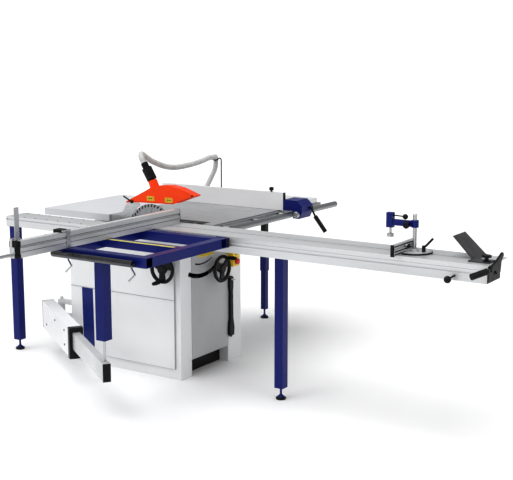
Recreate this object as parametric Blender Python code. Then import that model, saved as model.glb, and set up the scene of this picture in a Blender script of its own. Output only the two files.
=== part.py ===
"""Sliding table panel saw: cabinet with a tilting blade unit, sliding carriage on a long beam, outrigger table
on a telescopic swing arm, crosscut fence, and rip fence on a round rail. Metres, +Z up.
+X is the operator's end, -Y the side of the sliding table. Places below are measured from the cabinet's
front corner at floor level; the root empty then moves the whole machine over its own middle."""

import math

import bmesh
import bpy
from mathutils import Matrix, Vector

# ---------------------------------------------------------------- driving dimensions
GAP = 0.0003  # between neighbours that touch
MIDDLE = Vector((0.2636, 0.1525, 0.0))  # middle of the machine's footprint
TABLE_Z = 0.850
CABINET = Vector((0.800, 0.590, 0.7657))  # length, width, height
WALL = 0.003
POST_W = 0.100
KICK_Z = 0.095
PORT = (0.300, 0.200)  # extraction port on the rear face, (y, z)
PORT_END = -0.885

BEAM_X = (-1.245, 1.766)
BEAM_Y = (-0.060, 0.095)
BEAM_Z = (0.766, 0.8255)
CARRIAGE_X = (-0.450, 1.766)
CARRIAGE_EDGE_Y = 0.187
FLANGE_T = 0.006
SLOT_Y = 0.0635  # T-slot in the carriage
SLOT_W = 0.012

BLADE_Y = 0.197
BLADE_R = 0.1575
BLADE_T = 0.0032
ARBOR = Vector((-0.345, BLADE_Y, 0.7785))
TILT_AXIS = Vector((-0.345, BLADE_Y, TABLE_Z))
MOTOR = Vector((-0.520, BLADE_Y, 0.700))
MOTOR_PULLEY_R = 0.045
ARBOR_PULLEY_R = 0.032
KNIFE_PIN = Vector((-0.462, BLADE_Y, 0.944))
NOZZLE = Vector((-0.318, BLADE_Y, 1.030))
NOZZLE_WAY = Vector((-0.400, 0.0, 0.917)).normalized()
CUFF = NOZZLE + 0.052 * NOZZLE_WAY  # ribbed cuff between the guard's spigot and the hose
CUFF_WAY = Vector((-0.530, 0.0, 0.848)).normalized()
CUFF_LENGTH = 0.106

MAIN_X = (-0.660, 0.080)
MAIN_Y = (0.2040, 0.920)
TOP_T = 0.040

RAIL_X = 0.190
RAIL_Z = 0.836
RAIL_R = 0.018
FENCE_BOARD_Y = 0.880

FRAME_X = (-0.205, 0.375)
FRAME_Y = (-0.753, -0.094)
TUBE = 0.050
POST = Vector((0.066, -0.706, 0.405))  # outrigger post: middle and lower end
ARM_HINGE = Vector((-1.005, 0.135, 0.300))
ARM_LINE_OFFSET = 0.0846
ARM_TOP_Z = 0.290
ARM_ANGLE = math.radians(-34.5)

CROSS_X = (-0.151, -0.113)
CROSS_Y = (-1.067, 0.155)
CROSS_H = 0.080
CROSS_PIVOT = Vector((-0.132, -0.119, TABLE_Z))

MITRE = Vector((1.352, SLOT_Y, TABLE_Z))
WHEEL_R = 0.080
LIFT_WHEEL = Vector((0.060, 0.314, 0.585))
TILT_WHEEL = Vector((-0.073, -0.062, 0.630))


# ---------------------------------------------------------------- tools
def clear_scene():
    for obj in list(bpy.data.objects):
        bpy.data.objects.remove(obj, do_unlink=True)


def paint(name, colour, roughness, metallic=0.0):
    mat = bpy.data.materials.new(name)
    mat.use_nodes = True
    shader = mat.node_tree.nodes["Principled BSDF"]
    shader.inputs["Base Color"].default_value = (*colour, 1.0)
    shader.inputs["Roughness"].default_value = roughness
    shader.inputs["Metallic"].default_value = metallic
    return mat


def frame_of(axis):
    """Rotation whose Z column is the given direction."""
    axis = Vector(axis).normalized()
    return axis.to_track_quat("Z", "Y").to_matrix().to_4x4()


def block(low, high):
    bm = bmesh.new()
    low, high = Vector(low), Vector(high)
    size = high - low
    bmesh.ops.create_cube(bm, size=1.0)
    bmesh.ops.transform(bm, matrix=Matrix.Translation((low + high) / 2) @ Matrix.Diagonal((*size, 1)),
        verts=bm.verts)
    return bm


def prism(outline, along, start, end):
    """Closed outline of (u, v) pairs pushed along X, Y or Z. Their planes are (y, z), (x, z) and (x, y)."""
    bm = bmesh.new()
    spots = {
        "X": lambda u, v: (start, u, v),
        "Y": lambda u, v: (u, start, v),
        "Z": lambda u, v: (u, v, start),
    }
    push = {"X": (end - start, 0, 0), "Y": (0, end - start, 0), "Z": (0, 0, end - start)}
    face = bm.faces.new([bm.verts.new(spots[along](u, v)) for u, v in outline])
    made = bmesh.ops.extrude_face_region(bm, geom=[face])
    moved = [item for item in made["geom"] if isinstance(item, bmesh.types.BMVert)]
    bmesh.ops.translate(bm, vec=push[along], verts=moved)
    bmesh.ops.recalc_face_normals(bm, faces=bm.faces)
    return bm


def rod(start, end, radius, sides=16, radius_end=None):
    bm = bmesh.new()
    start, end = Vector(start), Vector(end)
    length = (end - start).length
    tip = radius if radius_end is None else radius_end
    bmesh.ops.create_cone(bm, cap_ends=True, segments=sides, radius1=radius, radius2=tip, depth=length)
    bmesh.ops.transform(bm, matrix=Matrix.Translation((start + end) / 2) @ frame_of(end - start),
        verts=bm.verts)
    return bm


def turned(profile, origin, axis, sides=24):
    """Solid of revolution from (radius, height) pairs, given from the bottom of the axis to its top."""
    bm = bmesh.new()
    rings = []
    for radius, height in profile:
        if radius < 1e-6:
            rings.append([bm.verts.new((0, 0, height))])
            continue
        turns = [math.tau * i / sides for i in range(sides)]
        rings.append([bm.verts.new((radius * math.cos(a), radius * math.sin(a), height)) for a in turns])
    for lower, upper in zip(rings, rings[1:]):
        for i in range(sides):
            j = (i + 1) % sides
            corners = [lower[i % len(lower)], lower[j % len(lower)], upper[j % len(upper)],
                upper[i % len(upper)]]
            bm.faces.new(list(dict.fromkeys(corners)))
    for ring in (rings[0], rings[-1]):
        if len(ring) > 1:
            bm.faces.new(ring)
    bmesh.ops.recalc_face_normals(bm, faces=bm.faces)
    bmesh.ops.transform(bm, matrix=Matrix.Translation(origin) @ frame_of(axis), verts=bm.verts)
    return bm


def bent_rod(points, radius, sides=8):
    """Round bar through the points, with mitred bends."""
    bm = bmesh.new()
    points = [Vector(p) for p in points]
    rings = []
    across = None
    for i, point in enumerate(points):
        before = (point - points[i - 1]).normalized() if i else (points[1] - point).normalized()
        after = (points[i + 1] - point).normalized() if i < len(points) - 1 else before
        along = (before + after).normalized()
        start = across if across is not None else before.orthogonal()
        across = (start - start.dot(before) * before).normalized()
        other = before.cross(across)
        ring = []
        for k in range(sides):
            turn = math.tau * k / sides
            offset = radius * (math.cos(turn) * across + math.sin(turn) * other)
            slide = -offset.dot(along) / before.dot(along)
            ring.append(bm.verts.new(point + offset + slide * before))
        rings.append(ring)
        across = (across - across.dot(after) * after).normalized()
    for lower, upper in zip(rings, rings[1:]):
        for k in range(sides):
            m = (k + 1) % sides
            bm.faces.new((lower[k], lower[m], upper[m], upper[k]))
    bm.faces.new(rings[0])
    bm.faces.new(rings[-1])
    bmesh.ops.recalc_face_normals(bm, faces=bm.faces)
    return bm


def arc(centre, radius, first, last, steps):
    """Points of an arc; angles in degrees, from +u towards +v."""
    turns = [math.radians(first + (last - first) * i / steps) for i in range(steps + 1)]
    return [(centre[0] + radius * math.cos(a), centre[1] + radius * math.sin(a)) for a in turns]


def moved(bm, matrix):
    bmesh.ops.transform(bm, matrix=matrix, verts=bm.verts)
    return bm


class Machine:
    """Puts solids under the root empty and keeps each piece's origin on its joint axis."""

    def __init__(self):
        self.root = bpy.data.objects.new("machine_root", None)
        self.root.location = -MIDDLE
        bpy.context.scene.collection.objects.link(self.root)

    def object(self, name, bm, mat, pivot):
        mesh = bpy.data.meshes.new(name)
        bmesh.ops.translate(bm, vec=-Vector(pivot), verts=bm.verts)
        bm.to_mesh(mesh)
        bm.free()
        obj = bpy.data.objects.new(name, mesh)
        obj.location = pivot
        obj.parent = self.root
        bpy.context.scene.collection.objects.link(obj)
        if mat:
            mesh.materials.append(mat)
        return obj

    def add(self, name, mat, shape, pivot=(0, 0, 0), joined=(), cut=(), smooth=False):
        """One named solid: the shape, with others joined to it and then cutters taken away."""
        obj = self.object(name, shape, mat, pivot)
        for kind, shapes in (("UNION", joined), ("DIFFERENCE", cut)):
            for number, other in enumerate(shapes):
                tool = self.object(f"{name}_{kind.lower()}_{number}", other, None, (0, 0, 0))
                tool.hide_render = True
                tool.display_type = "WIRE"
                modifier = obj.modifiers.new(tool.name, "BOOLEAN")
                modifier.operation = kind
                modifier.object = tool
                modifier.solver = "EXACT"
        if smooth:
            obj.data.shade_smooth()
            obj.data.set_sharp_from_angle(angle=math.radians(35))
        return obj


# ---------------------------------------------------------------- stand and tables
def cabinet_parts(machine, look):
    length, width, height = CABINET
    inside = block((-length + WALL, WALL, KICK_Z), (-WALL, width - WALL, height - 0.010))
    beneath = block((-length + 0.060, 0.060, -0.01), (-0.060, width - 0.060, KICK_Z + 0.01))
    front_opening = block((-0.01, POST_W + 0.012, 0.130), (0.02, 0.445, 0.700))
    kick = block((-0.070, POST_W, -0.01), (0.02, 0.457, KICK_Z))
    collar = block((-0.790, 0.215, height - 0.005), (-0.0005, 0.585, TABLE_Z - TOP_T - GAP))
    table_opening = block((-0.740, 0.060, height - 0.02), (-0.006, 0.560, TABLE_Z))
    port_room = rod((-length - 0.046, *PORT), (-length + 0.02, *PORT), 0.046, 20)
    port_bore = rod((-length - 0.2, *PORT), (-length, *PORT), 0.0150, 16)
    port = rod((-length - 0.050, *PORT), (-length + 0.002, *PORT), 0.050, 20)
    spigot = rod((PORT_END, *PORT), (-length - 0.048, *PORT), 0.0205, 16)
    peg = rod((-0.002, 0.4670, 0.492), (0.050, 0.4670, 0.492), 0.005, 8)
    lean = 0.010
    outline = [
        (0.001, 0.0585), (0.001, 0.750), (-lean, 0.750), (-lean - 0.002, 0.748),
        (-lean, 0.450), (-0.006, 0.0585),
    ]
    cover = prism(outline, "X", -0.790, -0.035)
    machine.add(
        "cabinet",
        look["off_white"],
        block((-length, 0, 0), (0, width, height)),
        joined=(collar, port, spigot, peg, cover),
        cut=(
            inside, beneath, front_opening, kick, table_opening, port_room, port_bore,
            wheel_slot(), tilt_shaft_hole(),
        ),
    )
    front_panel(machine, look)


def arc_slot(radius, half, first, last, start, end):
    """Curved slot round the tilt axis, seen from the front; angles from straight down, + to the right."""
    centre = (TILT_AXIS.y, TILT_AXIS.z)
    outer = arc(centre, radius + half, first - 90, last - 90, 12)
    inner = arc(centre, radius - half, last - 90, first - 90, 12)
    return prism(outer + inner, "X", start, end)


def wheel_slot():
    return arc_slot(0.2896, 0.0125, -24.5, 27.0, -0.01, 0.02)


def tilt_shaft_hole():
    return rod((TILT_WHEEL.x, -0.05, TILT_WHEEL.z), (TILT_WHEEL.x, 0.03, TILT_WHEEL.z), 0.0115, 16)


def front_panel(machine, look):
    panel = block((GAP, POST_W + 0.002, 0.096), (0.004, 0.455, 0.745))
    scale_slot = arc_slot(0.224, 0.004, -16.0, 26.0, -0.01, 0.02)
    machine.add("front_panel", look["grey"], panel, cut=(wheel_slot(), scale_slot))


def pan_table(machine, name, mat, low_x, high_x, low_y, high_y, thick):
    top = block((low_x, low_y, TABLE_Z - TOP_T), (high_x, high_y, TABLE_Z))
    hollow = block((low_x + thick, low_y + thick, TABLE_Z - TOP_T - 0.01),
        (high_x - thick, high_y - thick, TABLE_Z - thick))
    return machine.add(name, mat, top, cut=(hollow,))


def tables(machine, look):
    x0, x1 = MAIN_X
    y0, y1 = MAIN_Y
    low = TABLE_Z - TOP_T
    pockets = []
    columns = 3
    step = (x1 - x0 - 0.012) / columns
    for i in range(columns):
        a = x0 + 0.012 + i * step
        pockets.append(block((a, y0 + 0.100, low - 0.01), (a + step - 0.012, y1 - 0.012, TABLE_Z - 0.010)))
    notch = block((-0.560, y0 - 0.01, low - 0.01), (0.010, y0 + 0.075, TABLE_Z + 0.01))
    machine.add("main_table", look["cast_grey"], block((x0, y0, low), (x1, y1, TABLE_Z)),
        cut=(notch, *pockets))
    insert = block((-0.5595, y0 + 0.0005, TABLE_Z - 0.0075), (0.0095, y0 + 0.0745, TABLE_Z - GAP))
    tabs = [
        block((x, y0 + 0.0005, TABLE_Z - 0.020), (x + 0.012, y0 + 0.0745,
            TABLE_Z - 0.005)) for x in (-0.5595, -0.0025)
    ]
    machine.add("table_insert", look["steel"], insert, joined=tabs)
    pan_table(machine, "rear_table", look["white"], -1.175, x0 - GAP, CARRIAGE_EDGE_Y + 0.003, y1, 0.003)
    pan_table(machine, "right_table", look["white"], x0, 0.000, y1 + GAP, 1.490, 0.003)


def beam_and_legs(machine, look):
    x0, x1 = BEAM_X
    y0, y1 = BEAM_Y
    z0, z1 = BEAM_Z
    slot = [(y0, z1 - 0.014), (y0 + 0.006, z1 - 0.014), (y0 + 0.006, z1 - 0.021), (y0, z1 - 0.021)]
    outline = [(y0, z0), (y1, z0), (y1, z1), (y0, z1), *slot]
    core = block((x0 - 0.01, y0 + 0.010, z0 + 0.005), (x1 + 0.01, y1 - 0.005, z1 - 0.005))
    machine.add("beam", look["aluminium"], prism(outline, "X", x0, x1), cut=(core,))
    for name, x, y in (("leg_rear", -1.2195, -0.015), ("leg_front", 0.6275, 0.032)):
        leg(machine, look, name, x, y, TUBE / 2, z0 - GAP)
    leg(machine, look, "leg_side", -0.383, 1.4535, 0.018, TABLE_Z - 0.003 - 2 * GAP)


def leg(machine, look, name, x, y, half, top):
    """Square tube with a top plate, a bridge below for its levelling foot, and a sleeve on the adjustable one."""
    bottom = 0.062
    tube = block((x - half, y - half, bottom), (x + half, y + half, top))
    plate = block((x - half - 0.015, y - half, top - 0.006), (x + half + 0.015, y + half, top))
    inner = half - 0.003
    bridge = bottom + 0.008
    bores = [block((x - inner, y - inner, bridge), (x + inner, y + inner, top - 0.012))]
    for y0, y1 in ((y - inner, y - 0.010), (y + 0.010, y + inner)):
        bores.append(block((x - inner, y0, bottom - 0.01), (x + inner, y1, bridge + 0.01)))
    profile = [(0.0, 0.0), (0.026, 0.0), (0.026, 0.006), (0.009, 0.024), (0.006, 0.026),
        (0.006, bridge - 0.002)]
    foot = turned([*profile, (0.0, bridge - 0.002)], (x, y, 0.0), (0, 0, 1), 20)
    extra = [plate, foot]
    if name == "leg_side":
        extra.append(block((x - half - 0.004, y - half - 0.004, 0.330), (x + half + 0.004, y + half + 0.004,
            0.480)))
    machine.add(name, look["navy"], tube, joined=extra, cut=bores)


# ---------------------------------------------------------------- blade unit
def blade_unit(machine, look):
    trunnion(machine, look)
    saddle_and_motor(machine, look)
    blade_and_arbor(machine, look)
    knife_and_guard(machine, look)
    lift_wheel(machine, look)


def trunnion(machine, look):
    """Frame that hangs on the tilt axis: two sector plates, a guide column and a nut block for the lift shaft."""
    y, z = TILT_AXIS.y, TILT_AXIS.z
    sector = [(y + 0.150, z - 0.050), (y + 0.205, z - 0.110), (y + 0.190, z - 0.345), (y + 0.120, z - 0.345)]
    sector += [(y + 0.080, z - 0.290), (y + 0.085, z - 0.110), (y + 0.110, z - 0.050)]
    front = prism(sector, "X", -0.105, -0.093)
    rear = prism(sector, "X", -0.642, -0.630)
    tie = block((-0.641, y + 0.150, z - 0.342), (-0.094, y + 0.186, z - 0.318))
    column = block((-0.150, y + 0.086, z - 0.290), (-0.100, y + 0.150, z - 0.070))
    lift_bore = rod((-0.20, LIFT_WHEEL.y, LIFT_WHEEL.z), (0.0, LIFT_WHEEL.y, LIFT_WHEEL.z), 0.0105, 16)
    arm = block((-0.0925, BLADE_Y + 0.012, 0.795), (-0.060, BLADE_Y + 0.130, 0.806))
    spindle_wall = block((-0.092, BLADE_Y + 0.012, 0.770), (-0.010, BLADE_Y + 0.030, 0.806))
    hanger = block((-0.104, BLADE_Y + 0.095, 0.735), (-0.070, BLADE_Y + 0.131, 0.807))
    parts = (rear, tie, column, arm, spindle_wall, hanger)
    machine.add("trunnion", look["cast_dark"], front, joined=parts, cut=(lift_bore,), pivot=TILT_AXIS)
    spindle = rod((-0.040, BLADE_Y - 0.010, 0.806), (-0.040, BLADE_Y + 0.0117, 0.806), 0.012, 12)
    scorer = rod((-0.040, BLADE_Y - 0.0016, 0.806), (-0.040, BLADE_Y + 0.0016, 0.806), 0.0445, 32)
    machine.add("scoring_blade", look["steel"], scorer, joined=(spindle,), pivot=(-0.040, BLADE_Y, 0.806),
        smooth=True)


def saddle_and_motor(machine, look):
    """Saddle that slides down the trunnion's column and carries the arbor bearing and the motor."""
    y = BLADE_Y
    plate = block((-0.600, y + 0.026, 0.665), (-0.155, y + 0.038, 0.800))
    housing = rod((ARBOR.x, y + 0.0225, ARBOR.z), (ARBOR.x, y + 0.075, ARBOR.z), 0.030, 24)
    bore = rod((ARBOR.x, y, ARBOR.z), (ARBOR.x, y + 0.12, ARBOR.z), 0.0105, 16)
    shoe = block((-0.190, y + 0.030, 0.690), (-0.1505, y + 0.145, 0.770))
    foot = block((-0.600, y + 0.0025, 0.700), (-0.574, y + 0.030, 0.760))
    machine.add(
        "saddle", look["cast_dark"], plate, joined=(housing, shoe, foot), cut=(bore,
            motor_hole()), pivot=TILT_AXIS
    )
    profile = [(0.0, 0.0), (0.070, 0.0), (0.074, 0.010), (0.074, 0.190), (0.066, 0.215), (0.0, 0.215)]
    body = turned(profile, (MOTOR.x, y + 0.0385, MOTOR.z), (0, 1, 0), 28)
    box = block((MOTOR.x - 0.045, y + 0.090, MOTOR.z + 0.060), (MOTOR.x + 0.045, y + 0.180, MOTOR.z + 0.092))
    bore = rod((MOTOR.x, y + 0.03, MOTOR.z), (MOTOR.x, y + 0.14, MOTOR.z), 0.0105, 12)
    machine.add("motor", look["motor"], body, joined=(box,), cut=(bore,), pivot=TILT_AXIS, smooth=True)
    belt(machine, look)


def motor_hole():
    return rod((MOTOR.x, BLADE_Y, MOTOR.z), (MOTOR.x, BLADE_Y + 0.06, MOTOR.z), 0.0125, 12)


def belt_loop(extra):
    """Outline of an open belt round both pulleys, in (x, z)."""
    gap = Vector((ARBOR.x - MOTOR.x, ARBOR.z - MOTOR.z))
    along = math.degrees(math.atan2(gap.y, gap.x))
    spread = math.degrees(math.asin((MOTOR_PULLEY_R - ARBOR_PULLEY_R) / gap.length))
    first = along + 90 - spread
    big = arc((MOTOR.x, MOTOR.z), MOTOR_PULLEY_R + extra, first, first + 180 + 2 * spread, 22)
    small = arc((ARBOR.x, ARBOR.z), ARBOR_PULLEY_R + extra, first + 180 + 2 * spread, first + 360, 18)
    return big + small


def belt(machine, look):
    band = prism(belt_loop(0.006), "Y", BLADE_Y + 0.0105, BLADE_Y + 0.0205)
    inside = prism(belt_loop(GAP), "Y", BLADE_Y, BLADE_Y + 0.05)
    machine.add("drive_belt", look["black"], band, cut=(inside,), pivot=TILT_AXIS, smooth=True)
    pulley = rod((MOTOR.x, BLADE_Y + 0.0095, MOTOR.z), (MOTOR.x, BLADE_Y + 0.0215, MOTOR.z), MOTOR_PULLEY_R,
        32)
    shaft = rod((MOTOR.x, BLADE_Y + 0.021, MOTOR.z), (MOTOR.x, BLADE_Y + 0.135, MOTOR.z), 0.010, 12)
    place = (MOTOR.x, BLADE_Y, MOTOR.z)
    machine.add("motor_pulley", look["steel"], pulley, joined=(shaft,), pivot=place, smooth=True)


def blade_and_arbor(machine, look):
    y, z = BLADE_Y, ARBOR.z
    disc = rod((ARBOR.x, y - BLADE_T / 2, z), (ARBOR.x, y + BLADE_T / 2, z), BLADE_R, 60)
    profile = [
        (0.0, -0.028), (0.014, -0.028), (0.014, -0.010), (0.040, -0.009), (0.040, 0.009),
        (ARBOR_PULLEY_R, 0.0095), (ARBOR_PULLEY_R, 0.0215),
        (0.010, 0.0218), (0.010, 0.110), (0.0, 0.110),
    ]
    arbor = turned(profile, ARBOR, (0, 1, 0), 28)
    machine.add("saw_blade", look["steel"], disc, joined=(arbor,), pivot=ARBOR, smooth=True)


def knife_and_guard(machine, look):
    y = BLADE_Y
    centre = (ARBOR.x, ARBOR.z)
    outline = arc(centre, BLADE_R + 0.008, 120, 197, 10)
    outline += [(-0.600, 0.712), (-0.600, 0.752)]
    outline += arc(centre, 0.235, 183, 142, 6)
    outline += [(-0.480, 0.948), (-0.468, 0.956), (-0.450, 0.955)]
    pin = rod((KNIFE_PIN.x, y - 0.1, KNIFE_PIN.z), (KNIFE_PIN.x, y + 0.1, KNIFE_PIN.z), 0.0045, 12)
    machine.add("riving_knife", look["steel"], prism(outline, "Y", y - 0.00125, y + 0.00125), cut=(pin,),
        pivot=TILT_AXIS)
    hood = [
        (-0.510, 0.935), (-0.420, 0.944), (-0.320, 0.946), (-0.170, 0.951), (-0.022, 1.004), (-0.020, 1.009),
        (-0.060, 1.022), (-0.125, 1.043), (-0.195, 1.054), (-0.260, 1.050), (-0.315, 1.040), (-0.370, 1.011),
        (-0.500, 0.946), (-0.510, 0.940),
    ]
    room = [
        (-0.520, 0.930), (-0.400, 0.930), (-0.170, 0.930), (-0.070, 0.960), (-0.070, 1.000), (-0.127, 1.038),
        (-0.195, 1.049), (-0.258, 1.045), (-0.313, 1.035), (-0.367, 1.006), (-0.440, 0.968), (-0.452, 1.000),
        (-0.520, 1.000),
    ]
    shell = prism(hood, "Y", y - 0.030, y + 0.030)
    cavity = prism(room, "Y", y - 0.026, y + 0.026)
    start = NOZZLE - 0.006 * NOZZLE_WAY
    stub = rod(start, NOZZLE + 0.046 * NOZZLE_WAY, 0.0275, 20, 0.025)
    throat = rod(NOZZLE - 0.05 * NOZZLE_WAY, NOZZLE + 0.08 * NOZZLE_WAY, 0.0210, 20)
    hole = rod((KNIFE_PIN.x, y - 0.1, KNIFE_PIN.z), (KNIFE_PIN.x, y + 0.1, KNIFE_PIN.z), 0.0045, 12)
    machine.add("guard", look["orange"], shell, joined=(stub,), cut=(cavity, throat, hole), pivot=KNIFE_PIN)
    steps = [(0.029, 0.0), (0.029, 0.072), (0.0195, 0.075), (0.0195, CUFF_LENGTH), (0.0, CUFF_LENGTH)]
    cuff = turned([(0.0, 0.0), *steps], CUFF, CUFF_WAY, 24)
    bore = rod(CUFF - 0.1 * CUFF_WAY, CUFF + 0.2 * CUFF_WAY, 0.0150, 20)
    machine.add("hose_cuff", look["black"], cuff, cut=(bore,), pivot=CUFF, smooth=True)
    bolt = rod((KNIFE_PIN.x, y - 0.0335, KNIFE_PIN.z), (KNIFE_PIN.x, y + 0.036, KNIFE_PIN.z), 0.0040, 12)
    head = rod((KNIFE_PIN.x, y - 0.040, KNIFE_PIN.z), (KNIFE_PIN.x, y - 0.0305, KNIFE_PIN.z), 0.009, 12)
    tip = KNIFE_PIN + Vector((-0.052, -0.045, 0.030))
    handle = rod((KNIFE_PIN.x, y - 0.036, KNIFE_PIN.z), tip, 0.0045, 8)
    machine.add("guard_lever", look["black"], head, joined=(bolt, handle), pivot=KNIFE_PIN)


def wheel(centre, axis, shaft, start_turn):
    """Handwheel with three windows, from its shaft's far end to its hub cap. Axis points at the operator."""
    profile = [
        (0.0, -shaft), (0.010, -shaft), (0.010, -0.022), (0.021, -0.022), (0.023, -0.004), (0.062, -0.004),
        (0.066, -0.008), (0.076, -0.008), (WHEEL_R, 0.001), (0.076, 0.010), (0.066, 0.010), (0.062, 0.004),
        (0.028, 0.006), (0.021, 0.014), (0.0, 0.014),
    ]
    disc = turned(profile, centre, axis, 36)
    windows = []
    for i in range(3):
        first = start_turn + 120 * i
        shape = arc((0, 0), 0.0605, first - 40, first + 40, 6) + arc((0, 0), 0.030, first + 26, first - 26, 3)
        cutter = prism(shape, "Z", -0.05, 0.05)
        windows.append(moved(cutter, Matrix.Translation(centre) @ frame_of(axis)))
    return disc, windows


def crank(hub, axis, turn):
    """Turning grip near the rim: the pin it spins on belongs to the grip."""
    place = frame_of(axis) @ Vector((0.069 * math.cos(turn), 0.069 * math.sin(turn), 0.0))
    foot = Vector(hub) + place
    profile = [(0.0, 0.0105), (0.006, 0.0105), (0.0065, 0.016), (0.011, 0.022), (0.012, 0.050),
        (0.009, 0.074), (0.0, 0.078)]
    return turned(profile, foot, axis, 14), foot


def lift_wheel(machine, look):
    axis = (1, 0, 0)
    disc, windows = wheel(LIFT_WHEEL, axis, 0.195, 90)
    machine.add("lift_handwheel", look["black"], disc, cut=windows, pivot=LIFT_WHEEL, smooth=True)
    grip, foot = crank(LIFT_WHEEL, axis, math.radians(60))
    machine.add("lift_crank_grip", look["black"], grip, pivot=foot, smooth=True)


def tilt_wheel(machine, look):
    axis = (0, -1, 0)
    disc, windows = wheel(TILT_WHEEL, axis, 0.110, 90)
    machine.add("tilt_handwheel", look["black"], disc, cut=windows, pivot=TILT_WHEEL, smooth=True)
    grip, foot = crank(TILT_WHEEL, axis, math.radians(-95))
    machine.add("tilt_crank_grip", look["black"], grip, pivot=foot, smooth=True)


# ---------------------------------------------------------------- sliding side
def sliding_side(machine, look):
    x0, x1 = CARRIAGE_X
    low = BEAM_Z[1] + 0.001
    y0, y1 = BEAM_Y
    slot = [(SLOT_Y + SLOT_W / 2, TABLE_Z), (SLOT_Y + SLOT_W / 2, TABLE_Z - 0.012)]
    slot += [(SLOT_Y - SLOT_W / 2, TABLE_Z - 0.012), (SLOT_Y - SLOT_W / 2, TABLE_Z)]
    outline = [(y0, low), (y1, low), (y1, TABLE_Z - FLANGE_T), (CARRIAGE_EDGE_Y, TABLE_Z - FLANGE_T)]
    outline += [(CARRIAGE_EDGE_Y, TABLE_Z), *slot, (y0, TABLE_Z)]
    core = block((x0 - 0.01, y0 + 0.006, low + 0.005), (x1 + 0.01, SLOT_Y - 0.012, TABLE_Z - 0.005))
    machine.add("carriage", look["aluminium"], prism(outline, "X", x0, x1), cut=(core,))
    outrigger(machine, look)
    swing_arm(machine, look)
    crosscut_fence(machine, look)


def outrigger(machine, look):
    """Tube frame with its post; the side tubes run through, the cross tubes stand between them."""
    x0, x1 = FRAME_X
    y0, y1 = FRAME_Y
    low, wall = TABLE_Z - TUBE, 0.003
    outer = block((x0, y0, low), (x1, y0 + TUBE, TABLE_Z - 0.001))
    inner = block((x0, y1 - TUBE, low), (x1, y1, TABLE_Z - 0.001))
    crosses, bores = [], []
    for x in (x0, x1 - TUBE):
        crosses.append(block((x, y0 + 0.02, low), (x + TUBE, y1 - 0.02, TABLE_Z - 0.001)))
        bores.append(block((x + wall, y0 + 0.03, low + wall), (x + TUBE - wall, y1 - 0.03, TABLE_Z - 0.004)))
    bar = block((x0 + 0.02, -0.461, low + 0.010), (x1 - 0.02, -0.411, TABLE_Z - 0.001))
    bores.append(block((x0 + 0.01, -0.458, low + 0.013), (x1 - 0.01, -0.414, TABLE_Z - 0.004)))
    for y in (y0, y1 - TUBE):
        bores.append(block((x0 - 0.01, y + wall, low + wall), (x1 + 0.01, y + TUBE - wall, TABLE_Z - 0.004)))
    hangers = [block((x, y1 - 0.01, low + 0.010),
        (x + 0.060, BEAM_Y[0] - GAP, low + 0.024)) for x in (-0.180, 0.290)]
    hooks = [block((x, -0.0725, low + 0.010), (x + 0.060, BEAM_Y[0] - GAP,
        TABLE_Z - 0.003)) for x in (-0.180, 0.290)]
    half = 0.0275
    column = block((POST.x - half, POST.y - half, POST.z), (POST.x + half, POST.y + half, low + 0.012))
    for y0, y1 in ((POST.y - 0.0245, POST.y - 0.012), (POST.y + 0.012, POST.y + 0.0245)):
        bores.append(block((POST.x - 0.0245, y0, POST.z - 0.01), (POST.x + 0.0245, y1, POST.z + 0.02)))
    bores.append(block((POST.x - 0.0245, POST.y - 0.0245, POST.z + 0.010),
        (POST.x + 0.0245, POST.y + 0.0245, low - 0.004)))
    stay = rod((POST.x, POST.y, ARM_TOP_Z + 0.007), (POST.x, POST.y, POST.z + 0.008), 0.006, 10)
    machine.add(
        "outrigger_frame",
        look["navy"],
        outer,
        joined=(inner, *crosses, bar, *hangers, *hooks, column, stay),
        cut=bores,
    )
    y, z = FRAME_Y[0] - 0.025, 0.820
    profile = [(0.0, 0.0), (0.005, 0.0), (0.005, 0.012), (0.016, 0.013), (0.016, 0.517), (0.005, 0.518),
        (0.005, 0.530), (0.0, 0.530)]
    machine.add("outrigger_roller", look["chrome"], turned(profile, (-0.200, y, z), (1, 0, 0), 20),
        pivot=(0, y, z), smooth=True)
    for name, x in (("rear_clamp_crank", -0.135), ("front_clamp_crank", 0.265)):
        top = Vector((x, -0.728, low - GAP))
        bend = [top, top - Vector((0, 0, 0.012)), top + Vector((0.030, -0.010, -0.040)),
            top + Vector((0.002, -0.022, -0.072))]
        machine.add(name, look["steel"], bent_rod(bend, 0.0045, 8), pivot=top)


def along_arm(distance, side, height):
    """Point by its distance along the swing arm from the hinge, its offset towards the cabinet, and its height."""
    way = Vector((math.cos(ARM_ANGLE), math.sin(ARM_ANGLE), 0))
    across = Vector((-way.y, way.x, 0))
    flat = Vector((ARM_HINGE.x, ARM_HINGE.y, 0))
    return flat + distance * way + (side - ARM_LINE_OFFSET) * across + Vector((0, 0, height))


def arm_block(first, last, side0, side1, low, high):
    bm = block((first, side0, low), (last, side1, high))
    turn = Matrix.Rotation(ARM_ANGLE, 4, "Z")
    return moved(bm, Matrix.Translation(along_arm(0, 0, 0)) @ turn)


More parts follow.
